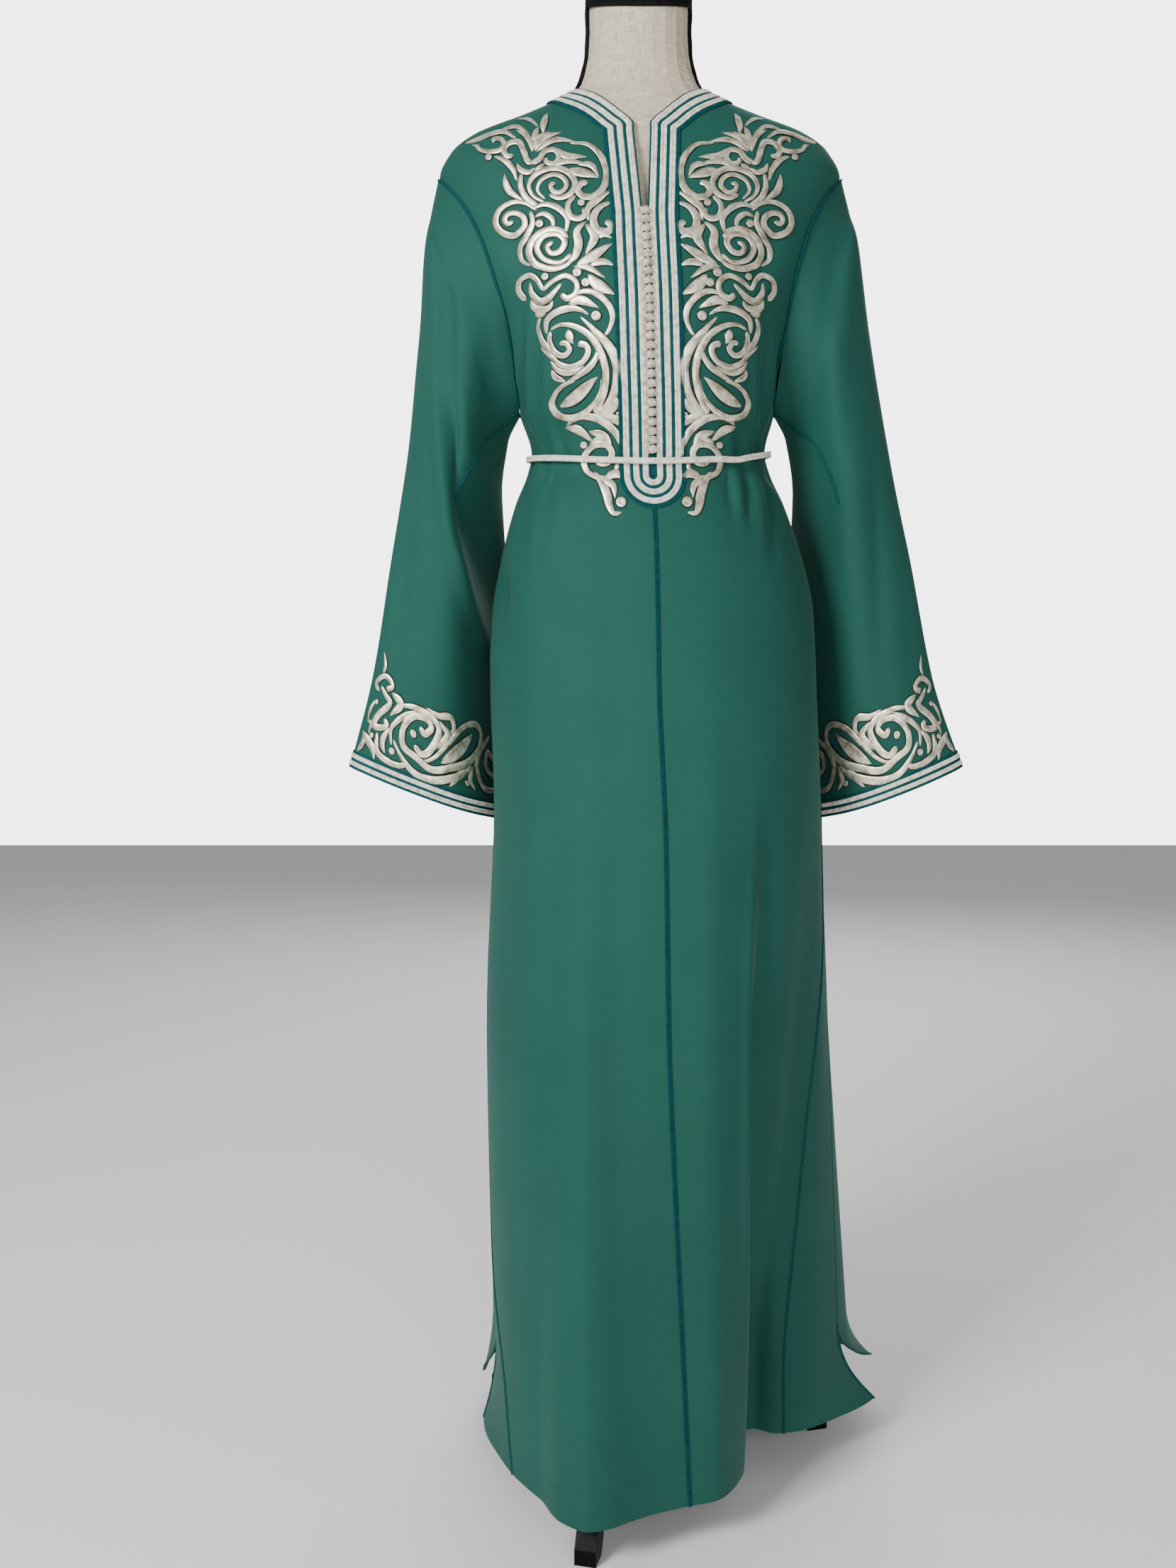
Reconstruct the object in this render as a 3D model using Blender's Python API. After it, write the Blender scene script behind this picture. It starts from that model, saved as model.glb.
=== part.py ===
"""Long kaftan with a braided front, wide sleeves and a cord belt, standing on a limbless dress form.

Metres, +Z up. The garment's front looks along -Y and the three feet of the stand rest on z = 0.
Azimuths are degrees about the garment's centre line: 0 is the front, +90 is +X, 180 is the back.
"""
import math

import bmesh
import bpy
import numpy as np

# Driving dimensions
WALL = 0.0015
SEAM_GAP = 0.0003
TRIM_GAP = 0.0007
HEM_Z = 0.05
DRAPE_TOP_Z = 0.80
DRAPE_POWER = 1.2
SLIT_TOP_Z = 0.15
NECK_Z = 1.486
SLIT_CORNER_Z = 1.4223
FIRST_BUTTON_Z = 1.335
PLACKET_FOOT_Z = 1.079
SHOULDER_TIP_Z = 1.40
UNDERARM_Z = 1.155
GORE_TOP_Z = 0.86
TRUNK_POWER = 2.15

# Trunk and skirt by height: the leaning centre line and the reach to the side, front and back
SECTION_COLUMNS = ("z", "centre", "half", "front", "back")
SECTIONS = (
    (1.500, -0.0210, 0.0600, 0.0500, 0.0560),
    (1.486, -0.0205, 0.0715, 0.0550, 0.0620),
    (1.470, -0.0205, 0.1020, 0.0620, 0.0700),
    (1.457, -0.0200, 0.1350, 0.0670, 0.0760),
    (1.440, -0.0200, 0.1800, 0.0755, 0.0830),
    (1.425, -0.0200, 0.1990, 0.0830, 0.0880),
    (1.400, -0.0195, 0.2110, 0.0930, 0.0940),
    (1.360, -0.0185, 0.2010, 0.1070, 0.1000),
    (1.310, -0.0170, 0.1850, 0.1200, 0.1040),
    (1.250, -0.0145, 0.1600, 0.1300, 0.1050),
    (1.190, -0.0125, 0.1420, 0.1270, 0.1000),
    (1.155, -0.0110, 0.1350, 0.1190, 0.0930),
    (1.115, -0.0095, 0.1245, 0.1050, 0.0840),
    (1.095, -0.0090, 0.1290, 0.1010, 0.0830),
    (1.060, -0.0080, 0.1440, 0.1120, 0.0950),
    (1.000, -0.0060, 0.1620, 0.1290, 0.1140),
    (0.950, -0.0050, 0.1720, 0.1380, 0.1280),
    (0.870, -0.0040, 0.1755, 0.1480, 0.1430),
    (0.720, 0.0025, 0.1770, 0.1600, 0.1570),
    (0.530, 0.0055, 0.1850, 0.1720, 0.1700),
    (0.370, 0.0120, 0.1890, 0.1810, 0.1840),
    (0.210, 0.0200, 0.1910, 0.1860, 0.2000),
    (0.050, 0.0280, 0.1930, 0.1880, 0.2200),
)

# Reach of the hem from the centre line, once round: a hump over the front foot, a deep fold beside it
HEM_COLUMNS = ("azimuth", "reach")
HEM_OUTLINE = (
    (-180, 0.2325),
    (-160, 0.2480),
    (-140, 0.2700),
    (-128, 0.2640),
    (-116, 0.2370),
    (-89, 0.2000),
    (-71.5, 0.2070),
    (-55, 0.2190),
    (-41, 0.2290),
    (-30.5, 0.2520),
    (-24.5, 0.2560),
    (-20, 0.2440),
    (-15.5, 0.2230),
    (-9, 0.2020),
    (0, 0.1870),
    (8.5, 0.1800),
    (17, 0.1610),
    (24, 0.1390),
    (33, 0.1130),
    (46, 0.0900),
    (57, 0.0860),
    (64, 0.0990),
    (70, 0.1200),
    (78, 0.1460),
    (87.5, 0.1690),
    (95, 0.1880),
    (102, 0.2050),
    (122, 0.2350),
    (150, 0.2450),
    (180, 0.2325),
)
# The folds lean: their azimuth on the right side grows by this much from the hem up
FOLD_TURN = 9.0

# Cloth thrown out at the foot of each side slit
FLARE_COLUMNS = ("azimuth", "width", "reach")
FLARES = ((-90, 22, 0.019), (-116, 13, 0.010), (100, 11, 0.020), (122, 17, 0.052))

# Valleys of the gathers under and over the belt
GATHER_COLUMNS = ("azimuth", "width", "depth", "z", "height")
GATHERS = (
    (-78, 5.5, 0.0040, 1.105, 0.070),
    (-63, 5.0, 0.0045, 1.085, 0.060),
    (-50, 5.0, 0.0035, 1.100, 0.055),
    (-37, 4.5, 0.0025, 1.080, 0.045),
    (38, 4.5, 0.0025, 1.085, 0.045),
    (52, 5.0, 0.0035, 1.100, 0.055),
    (65, 5.0, 0.0045, 1.085, 0.065),
    (80, 5.5, 0.0040, 1.105, 0.070),
    (108, 6.0, 0.0040, 1.100, 0.070),
    (128, 6.0, 0.0040, 1.090, 0.060),
    (150, 6.5, 0.0045, 1.100, 0.075),
    (173, 6.0, 0.0035, 1.090, 0.060),
    (-162, 6.5, 0.0045, 1.100, 0.070),
    (-138, 6.0, 0.0040, 1.090, 0.060),
    (-112, 6.0, 0.0040, 1.100, 0.070),
)

# Edge of the neck opening on the front panels
NECKLINE_COLUMNS = ("z", "azimuth")
NECKLINE = (
    (1.486, 78),
    (1.478, 56),
    (1.4695, 40),
    (1.459, 28),
    (1.448, 18),
    (1.434, 7.2),
    (1.4223, 5.9),
)

# Seams of the skirt on each side, as unsigned azimuths
SEAM_COLUMNS = ("z", "front_seam", "side_front", "side_back", "back_seam")
SEAMS = {
    1: (
        (1.155, 90.0, 90.0, 90.0, 90.0),
        (0.870, 91.3, 91.3, 91.3, 91.3),
        (0.860, 90.9, 91.3, 91.3, 91.7),
        (0.620, 85.0, 92.3, 92.3, 106.0),
        (0.500, 78.0, 92.5, 92.5, 116.0),
        (0.400, 73.0, 92.5, 92.5, 125.0),
        (0.300, 71.0, 92.5, 92.5, 133.0),
        (0.150, 69.0, 92.5, 92.5, 144.0),
        (0.050, 70.0, 100.0, 122.0, 150.0),
    ),
    -1: (
        (1.155, 90.0, 90.0, 90.0, 90.0),
        (0.870, 93.4, 93.4, 93.4, 93.4),
        (0.860, 93.0, 93.4, 93.4, 93.8),
        (0.620, 92.0, 97.0, 97.0, 108.0),
        (0.450, 90.0, 97.0, 97.0, 119.0),
        (0.300, 85.0, 96.0, 96.0, 130.0),
        (0.220, 73.0, 94.0, 94.0, 135.0),
        (0.150, 62.0, 92.5, 92.5, 140.0),
        (0.050, 55.0, 89.0, 116.0, 146.0),
    ),
}

# Armholes cut into the front and the back, in degrees at their deepest
ARMHOLE_FRONT = 23.0
ARMHOLE_BACK = 15.0
ARMHOLE_POWER = 0.6

# Sleeve sections from the arm to the cuff, outward distance and depth of six points of each loop
SLEEVE_COLUMNS = (
    "outer_z", "inner_z", "outer_x", "ridge_x", "ridge_y", "fold_x", "fold_y",
    "inner_x", "inner_y", "back_x", "back_y", "rear_x", "rear_y",
)
SLEEVE_SECTIONS = (
    (1.353, 1.130, 0.224, 0.214, -0.040, 0.178, -0.060, 0.150, 0.016, 0.178, 0.068, 0.214, 0.042),
    (1.236, 1.070, 0.240, 0.226, -0.038, 0.190, -0.050, 0.160, 0.046, 0.190, 0.077, 0.228, 0.040),
    (1.119, 0.985, 0.257, 0.236, -0.034, 0.197, -0.036, 0.160, 0.085, 0.197, 0.097, 0.238, 0.045),
    (1.000, 0.885, 0.2794, 0.245, -0.032, 0.200, -0.018, 0.154, 0.125, 0.202, 0.114, 0.250, 0.050),
    (0.879, 0.785, 0.3025, 0.256, -0.030, 0.201, -0.004, 0.150, 0.142, 0.204, 0.122, 0.262, 0.055),
    (0.780, 0.706, 0.3326, 0.268, -0.026, 0.200, 0.006, 0.146, 0.148, 0.206, 0.126, 0.276, 0.058),
)
SLEEVE_POINTS = 20
SLEEVE_ROWS = 16
SLEEVE_STANDOFF = 0.0006
SHOULDER_STANDOFF = 0.0016

# Trims
BRAID_WIDTH = 0.0054
BRAID_THICK = 0.0012
BRAID_OFFSETS = {"braid_inner": 0.0042, "braid_middle": 0.0136, "braid_outer": 0.0230}
CUFF_BRAIDS = {"lower": (0.0030, 0.0078), "upper": (0.0110, 0.0158)}
SEAM_BRAID_WIDTH = 0.0042
SEAM_BRAID_THICK = 0.0010
BUTTON_COUNT = 28
BUTTON_PITCH = 0.0088
BUTTON_RADII = (0.0054, 0.0035, 0.0037)
BUTTON_STANDOFF = 0.0035
BELT_Z = 1.1045
BELT_DROP = 0.0105
BELT_HIGH = 0.0035
BELT_DEEP = 0.0023
CLASP_LENGTH = 0.016

# Dress form and stand
FORM_REST = WALL + 0.0014
FORM_NECK_COLUMNS = ("z", "half", "front", "back")
FORM_NECK = (
    (1.576, 0.0520, 0.0520, 0.0540),
    (1.550, 0.0515, 0.0505, 0.0535),
    (1.525, 0.0530, 0.0500, 0.0540),
    (1.505, 0.0575, 0.0505, 0.0560),
    (1.493, 0.0625, 0.0515, 0.0580),
)
FORM_CLEAR_COLUMNS = ("z", "clear")
FORM_CLEAR = (
    (1.486, FORM_REST),
    (1.440, FORM_REST),
    (1.425, 0.0050),
    (1.400, 0.0095),
    (1.360, 0.0120),
    (1.250, 0.0125),
    (1.155, 0.0125),
    (1.100, 0.0120),
    (1.040, 0.0160),
    (0.930, 0.0130),
    (0.860, 0.0180),
    (0.840, 0.0320),
)
CAP_TOP_Z = 1.600
CAP_LIP = 0.0022
POLE_RADIUS = 0.016
HUB_RADIUS = 0.032
HUB_Z = (0.30, 0.36)
POLE_PLACE = (-0.020, 0.015)
FOOT_REACH = (0.207, 0.231)
LEG_WIDTH = 0.022
LEG_AZIMUTHS = {"leg_front": -14.3, "leg_left": 105.7, "leg_right": -134.3}

COLOURS = {
    "crepe": ((0.031, 0.159, 0.133), 0.62, 0.0),
    "braid": ((0.80, 0.78, 0.70), 0.45, 0.25),
    "cord": ((0.004, 0.105, 0.115), 0.50, 0.0),
    "linen": ((0.45, 0.40, 0.32), 0.85, 0.0),
    "gimp": ((0.008, 0.008, 0.008), 0.70, 0.0),
    "black_wood": ((0.010, 0.009, 0.008), 0.35, 0.0),
    "brass": ((0.62, 0.60, 0.55), 0.35, 1.0),
}


def clear_scene():
    """Remove every object of the scene."""
    for item in list(bpy.data.objects):
        bpy.data.objects.remove(item, do_unlink=True)


def column(rows, names, name):
    """One named column of a table, in rising order of its first column."""
    ordered = sorted(rows)
    return np.array([row[names.index(name)] for row in ordered], float)


def smooth(at, keys, values):
    """Read a table between its rows through a cubic that never overshoots them."""
    step = np.diff(keys)
    rise = np.diff(values) / step
    slope = np.concatenate(([rise[0]], np.zeros(len(keys) - 2), [rise[-1]]))
    for i in range(1, len(keys) - 1):
        if rise[i - 1] * rise[i] > 0:
            slope[i] = 2 * rise[i - 1] * rise[i] / (rise[i - 1] + rise[i])
    i = int(np.clip(np.searchsorted(keys, at) - 1, 0, len(step) - 1))
    t = min(max((at - keys[i]) / step[i], 0.0), 1.0)
    start = (1 + 2 * t) * (1 - t) ** 2 * values[i] + t * (1 - t) ** 2 * step[i] * slope[i]
    end = t * t * (3 - 2 * t) * values[i + 1] + t * t * (t - 1) * step[i] * slope[i + 1]
    return start + end


class Table:
    """A short table read by the name of its column."""

    def __init__(self, rows, names):
        self.keys = column(rows, names, names[0])
        self.values = {name: column(rows, names, name) for name in names[1:]}

    def read(self, name, at):
        return smooth(at, self.keys, self.values[name])


SECTION = Table(SECTIONS, SECTION_COLUMNS)
HEM = Table(HEM_OUTLINE, HEM_COLUMNS)
NECK = Table(NECKLINE, NECKLINE_COLUMNS)
SEAM = {side: Table(rows, SEAM_COLUMNS) for side, rows in SEAMS.items()}
FORM_NECK_TABLE = Table(FORM_NECK, FORM_NECK_COLUMNS)
FORM_CLEARANCE = Table(FORM_CLEAR, FORM_CLEAR_COLUMNS)


def turned(angle):
    """An azimuth brought between -180 and 180."""
    return (angle + 180) % 360 - 180


def oval_reach(azimuth, half, depth):
    """Reach of a slightly squared oval in one direction."""
    side = abs(math.sin(math.radians(azimuth))) / half
    along = abs(math.cos(math.radians(azimuth))) / depth
    return (side ** TRUNK_POWER + along ** TRUNK_POWER) ** (-1 / TRUNK_POWER)


def trunk_reach(azimuth, z):
    """Reach of the trunk's oval, before any fold."""
    end = "front" if abs(azimuth) < 90 else "back"
    return oval_reach(azimuth, SECTION.read("half", z), SECTION.read(end, z))


def drape_share(z):
    """How much of the hem's outline has formed at a height."""
    share = (DRAPE_TOP_Z - z) / (DRAPE_TOP_Z - HEM_Z)
    return min(max(share, 0.0), 1.0) ** DRAPE_POWER


def bump(distance, width):
    """A soft bell, 1 at its middle."""
    return math.exp(-((distance / width) ** 2))


def cloth_reach(azimuth, z):
    """Reach of the cloth's outer side: trunk, skirt folds, slit flares and gathers."""
    azimuth = turned(azimuth)
    share = drape_share(z)
    lean = FOLD_TURN * (1 - share) * math.sin(math.radians(2 * azimuth)) if 0 < azimuth < 90 else 0.0
    reach = (1 - share) * trunk_reach(azimuth, z) + share * HEM.read("reach", azimuth - lean)
    low = min(max((SLIT_TOP_Z - z) / (SLIT_TOP_Z - HEM_Z), 0.0), 1.0) ** 2
    for middle, width, out in FLARES:
        reach += out * low * bump(turned(azimuth - middle), width)
    for middle, width, depth, level, height in GATHERS:
        reach -= depth * bump(turned(azimuth - middle), width) * bump(z - level, height)
    return reach


def cloth_point(azimuth, z):
    """A point of the cloth's outer side."""
    reach = cloth_reach(azimuth, z)
    angle = math.radians(azimuth)
    return np.array([SECTION.read("centre", z) + reach * math.sin(angle), -reach * math.cos(angle), z])


def cloth_normal(azimuth, z):
    """The outward direction of the cloth there."""
    across = cloth_point(azimuth + 0.3, z) - cloth_point(azimuth - 0.3, z)
    up = cloth_point(azimuth, z + 0.001) - cloth_point(azimuth, z - 0.001)
    normal = np.cross(across, up)
    return normal / np.linalg.norm(normal)


def gap_angle(azimuth, z, gap=SEAM_GAP):
    """Half a seam's gap as degrees of azimuth."""
    return math.degrees(gap / 2 / cloth_reach(azimuth, z))


def levels(low, high):
    """Heights of the panels' rows between two levels."""
    spans = ((0.05, 0.15, 4), (0.15, 0.79, 7), (0.79, 0.86, 1), (0.86, 0.87, 1), (0.87, 1.04, 3),
             (1.04, 1.08, 2), (1.08, 1.128, 5), (1.128, 1.155, 2), (1.155, 1.40, 10),
             (1.40, 1.4223, 2), (1.4223, 1.462, 5), (1.462, 1.486, 5))
    rows = {round(a + (b - a) * k / n, 5) for a, b, n in spans for k in range(n + 1)}
    return sorted(z for z in rows if low - 1e-6 <= z <= high + 1e-6)


def armhole(z, deepest):
    """How far an armhole reaches past the side, in degrees."""
    share = min(max((SHOULDER_TIP_Z - z) / (SHOULDER_TIP_Z - UNDERARM_Z), 0.0), 1.0)
    return deepest * math.sin(math.pi * share) ** ARMHOLE_POWER if 0 < share < 1 else 0.0


def slit_half(z):
    """Half the width of the neck slit, or of the closed seam under it."""
    if z < PLACKET_FOOT_Z:
        return SEAM_GAP / 2
    share = min(max((z - FIRST_BUTTON_Z) / (SLIT_CORNER_Z - FIRST_BUTTON_Z), 0.0), 1.0)
    return 0.003 + 0.0055 * share


def front_inner(z):
    """Azimuth of a front panel's inner edge."""
    if z > SLIT_CORNER_Z:
        return NECK.read("azimuth", z)
    return math.degrees(math.atan(slit_half(z) / SECTION.read("front", z)))


def front_outer(side, z):
    """Azimuth of a front panel's outer edge, at the shoulder, armhole, side and gore."""
    if z >= UNDERARM_Z:
        return 90 - armhole(z, ARMHOLE_FRONT)
    return SEAM[side].read("side_front" if z > GORE_TOP_Z else "front_seam", z)


def back_outer(side, z):
    """Azimuth of the back panel's edge on one side."""
    if z >= UNDERARM_Z:
        return 90 + armhole(z, ARMHOLE_BACK)
    return SEAM[side].read("side_front" if z > GORE_TOP_Z else "back_seam", z)


def finish(name):
    """The plain material of a kind of piece."""
    colour, rough, metal = COLOURS[name]
    material = bpy.data.materials.get(name) or bpy.data.materials.new(name)
    material.use_nodes = True
    shader = material.node_tree.nodes["Principled BSDF"]
    shader.inputs["Base Color"].default_value = (*colour, 1)
    shader.inputs["Roughness"].default_value = rough
    shader.inputs["Metallic"].default_value = metal
    return material


def add_object(name, vertices, faces, material):
    """Make a closed mesh object with its faces pointing out."""
    mesh = bpy.data.meshes.new(name)
    mesh.from_pydata([tuple(map(float, v)) for v in vertices], [], faces)
    work = bmesh.new()
    work.from_mesh(mesh)
    bmesh.ops.recalc_face_normals(work, faces=work.faces)
    work.to_mesh(mesh)
    work.free()
    mesh.shade_smooth()
    mesh.set_sharp_from_angle(angle=math.radians(40))
    mesh.materials.append(finish(material))
    item = bpy.data.objects.new(name, mesh)
    bpy.context.collection.objects.link(item)
    return item


def sheet_faces(grid, ring):
    """Faces of two grids, outer then inner, split along the same shorter diagonal, and of their edges."""
    rows, cols = grid.shape[:2]
    faces = []
    inner = rows * cols
    across = cols if ring else cols - 1
    for r in range(rows - 1):
        for c in range(across):
            d = (c + 1) % cols
            quad = (r * cols + c, r * cols + d, (r + 1) * cols + d, (r + 1) * cols + c)
            rising = np.linalg.norm(grid[r, c] - grid[r + 1, d])
            falling = np.linalg.norm(grid[r, d] - grid[r + 1, c])
            turn = 0 if rising <= falling else 1
            for picks in ((0, 1, 2), (0, 2, 3)):
                triangle = tuple(quad[(k + turn) % 4] for k in picks)
                faces.append(triangle)
                faces.append(tuple(inner + k for k in reversed(triangle)))
    for r in (0, rows - 1):
        for c in range(across):
            a, b = r * cols + c, r * cols + (c + 1) % cols
            faces.append((a, b, inner + b, inner + a))
    if not ring:
        for c in (0, cols - 1):
            for r in range(rows - 1):
                a, b = r * cols + c, (r + 1) * cols + c
                faces.append((a, b, inner + b, inner + a))
    return faces


def add_wall(name, outer, inner, material, ring=False):
    """A sheet with thickness between an outer and an inner grid of points."""
    points = np.concatenate((outer.reshape(-1, 3), inner.reshape(-1, 3)))
    return add_object(name, points, sheet_faces(outer, ring), material)


def add_panel(name, heights, edges, cols):
    """A panel of cloth whose rows run between two azimuths at each height."""
    outer, inner = [], []
    for z in heights:
        start, end = edges(z)
        start += gap_angle(start, z)
        end -= gap_angle(end, z)
        angles = np.linspace(start, end, cols)
        points = np.array([cloth_point(a, z) for a in angles])
        normals = np.array([cloth_normal(a, z) for a in angles])
        outer.append(points)
        inner.append(points - WALL * normals)
    return add_wall(name, np.array(outer), np.array(inner), "crepe")


def ordered(side, low, high):
    """Two unsigned azimuths as the rising pair of one side."""
    return (low, high) if side > 0 else (-high, -low)


def add_panels():
    """The two fronts, the four gores and the back."""
    names = {1: "left", -1: "right"}
    for side, word in names.items():
        add_panel(f"front_{word}", levels(HEM_Z, NECK_Z),
                  lambda z, s=side: ordered(s, front_inner(z), front_outer(s, z)), 11)
        seam = SEAM[side]
        add_panel(f"gore_front_{word}", levels(HEM_Z, GORE_TOP_Z),
                  lambda z, s=side, t=seam: ordered(s, t.read("front_seam", z), t.read("side_front", z)), 4)
        add_panel(f"gore_back_{word}", levels(HEM_Z, GORE_TOP_Z),
                  lambda z, s=side, t=seam: ordered(s, t.read("side_back", z), t.read("back_seam", z)), 4)
    add_panel("back", levels(HEM_Z, NECK_Z), lambda z: (back_outer(1, z), 360 - back_outer(-1, z)), 13)


def armhole_loop(side):
    """Edge of one armhole: down the front from the shoulder's tip, then up the back."""
    half = SLEEVE_POINTS // 2
    loop = []
    for k in range(SLEEVE_POINTS):
        share = k / half if k <= half else (SLEEVE_POINTS - k) / half
        z = SHOULDER_TIP_Z + share * (UNDERARM_Z - SHOULDER_TIP_Z)
        deep = armhole(z, ARMHOLE_FRONT if k <= half else ARMHOLE_BACK)
        azimuth = 90 - deep if k <= half else 90 + deep
        point = cloth_point(side * azimuth, z)
        middle = SECTION.read("centre", z)
        outward = abs(point[0] - middle) + SLEEVE_STANDOFF + SHOULDER_STANDOFF * (1 - share) ** 4
        loop.append((outward, point[1], z))
    return np.array(loop)


def closed_curve(corners, count):
    """Evenly spread parameters on a closed smooth curve through a few corners."""
    total = len(corners)
    points = []
    for k in range(count):
        place = k * total / count
        i = int(place)
        t = place - i
        a, b, c, d = (corners[(i + j) % total] for j in (-1, 0, 1, 2))
        points.append(0.5 * (2 * b + (c - a) * t + (2 * a - 5 * b + 4 * c - d) * t ** 2
                             + (3 * b - a - 3 * c + d) * t ** 3))
    return np.array(points)


def section_loop(row):
    """One loop of the sleeve, its height falling from the outer fold to the inner one."""
    value = dict(zip(SLEEVE_COLUMNS, row))
    spots = [(value["outer_x"], 0.0)]
    spots += [(value[f"{name}_x"], value[f"{name}_y"]) for name in ("ridge", "fold", "inner", "back", "rear")]
    span = value["outer_x"] - value["inner_x"]
    fall = value["outer_z"] - value["inner_z"]
    corners = [np.array([x, y, value["outer_z"] - fall * (value["outer_x"] - x) / span]) for x, y in spots]
    return closed_curve(corners, SLEEVE_POINTS)


def sleeve_grid(side):
    """Rows of the sleeve from the armhole to the cuff, in world space."""
    stations = [armhole_loop(side)] + [section_loop(row) for row in SLEEVE_SECTIONS]
    stations = np.array(stations)
    keys = np.array([0.0] + [(SHOULDER_TIP_Z - row[0]) for row in SLEEVE_SECTIONS])
    grid = np.zeros((SLEEVE_ROWS, SLEEVE_POINTS, 3))
    for r in range(SLEEVE_ROWS):
        at = keys[-1] * (r / (SLEEVE_ROWS - 1)) ** 1.15
        for c in range(SLEEVE_POINTS):
            spot = [smooth(at, keys, stations[:, c, axis]) for axis in range(3)]
            grid[r, c] = (SECTION.read("centre", spot[2]) + side * spot[0], spot[1], spot[2])
    return grid


def grid_normals(grid, side):
    """Outward directions of a ring grid."""
    across = np.roll(grid, -1, axis=1) - np.roll(grid, 1, axis=1)
    down = np.gradient(grid, axis=0)
    normals = side * np.cross(across, down)
    return normals / np.linalg.norm(normals, axis=2, keepdims=True)


def add_sleeves():
    """Both sleeves and the two braids round each cuff."""
    for side, word in ((1, "left"), (-1, "right")):
        grid = sleeve_grid(side)
        normals = grid_normals(grid, side)
        add_wall(f"sleeve_{word}", grid, grid - WALL * normals, "crepe", ring=True)
        last, before = grid[-1], grid[-2]
        upward = before - last
        length = np.linalg.norm(upward, axis=1, keepdims=True)
        for level, (low, high) in CUFF_BRAIDS.items():
            edges = [last + upward / length * reach for reach in (low, high)]
            lower = np.array([edge + TRIM_GAP * normals[-1] for edge in edges])
            raised = np.array([edge + (TRIM_GAP + BRAID_THICK) * normals[-1] for edge in edges])
            add_wall(f"cuff_braid_{level}_{word}", raised, lower, "braid", ring=True)


def trunk_front(x, z):
    """The trunk's front at a distance from the centre line."""
    half, depth = SECTION.read("half", z), SECTION.read("front", z)
    return -depth * (1 - min(abs(x) / half, 1.0) ** TRUNK_POWER) ** (1 / TRUNK_POWER)


def trunk_level(point):
    """Below zero inside the trunk's oval, above zero outside it."""
    x, y, z = point
    half = SECTION.read("half", z)
    depth = SECTION.read("front" if y < 0 else "back", z)
    return ((abs(x) / half) ** TRUNK_POWER + (abs(y) / depth) ** TRUNK_POWER) ** (1 / TRUNK_POWER) - 1


def trunk_slope(point):
    """How the level changes along each axis."""
    step = 0.0002
    return np.array([(trunk_level(point + step * axis) - trunk_level(point - step * axis)) / (2 * step)
                     for axis in np.eye(3)])


def settle(point):
    """Bring a point onto the trunk's surface, in centre-line coordinates."""
    for _ in range(6):
        slope = trunk_slope(point)
        point = point - trunk_level(point) * slope / slope.dot(slope)
    return point


def trunk_normal(point):
    """Outward direction of the trunk's surface."""
    slope = trunk_slope(point)
    return slope / np.linalg.norm(slope)


def neckline_height(azimuth):
    """Height of the neck opening's edge in one direction."""
    low, high = SLIT_CORNER_Z, NECK_Z
    if azimuth >= NECK.read("azimuth", high):
        return high
    for _ in range(30):
        middle = (low + high) / 2
        low, high = (middle, high) if NECK.read("azimuth", middle) < azimuth else (low, middle)
    return low


def neck_edge():
    """Left half of the neck opening's edge, from the middle of the back to the slit's corner."""
    edge = []
    for azimuth in list(range(180, 12, -6)) + [12, 9]:
        z = neckline_height(azimuth)
        reach = trunk_reach(azimuth, z)
        edge.append((reach * math.sin(math.radians(azimuth)), -reach * math.cos(math.radians(azimuth)), z))
    return np.array(edge)


def stepped_out(edge, offset):
    """The neck's edge moved away from the opening along the cloth."""
    along = np.gradient(edge, axis=0)
    moved = []
    for start, direction in zip(edge, along):
        point = settle(start)
        away = np.cross(trunk_normal(point), direction)
        for _ in range(5):
            normal = trunk_normal(point)
            away = away - away.dot(normal) * normal
            away /= np.linalg.norm(away)
            point = settle(point + offset / 5 * away)
        moved.append(point)
    return np.array(moved)


def braid_half(offset):
    """Left half of a front braid's centre line: neck, corner, placket and rounded foot."""
    path = []
    for point in stepped_out(neck_edge(), offset):
        if point[1] < 0 and point[0] < slit_half(point[2]) + offset:
            break
        path.append(point)
    last = path[-1]
    corner_z = last[2] - 0.35 * max(last[0] - slit_half(last[2]) - offset, 0.001)
    path = [point for point in path if point[1] > 0 or point[0] > slit_half(corner_z) + offset + BRAID_WIDTH]
    runs = ((corner_z, FIRST_BUTTON_Z, 6), (FIRST_BUTTON_Z, 1.13, 12), (1.13, PLACKET_FOOT_Z, 7))
    for z in [z for top, foot, count in runs for z in np.linspace(top, foot, count)[(top != corner_z):]]:
        x = slit_half(max(z, PLACKET_FOOT_Z)) + offset
        path.append(np.array([x, trunk_front(x, z), z]))
    radius = slit_half(PLACKET_FOOT_Z) + offset
    for angle in np.linspace(0, math.pi / 2, 6)[1:]:
        x, z = radius * math.cos(angle), PLACKET_FOOT_Z - radius * math.sin(angle)
        path.append(np.array([x, trunk_front(x, z), z]))
    return path


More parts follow.
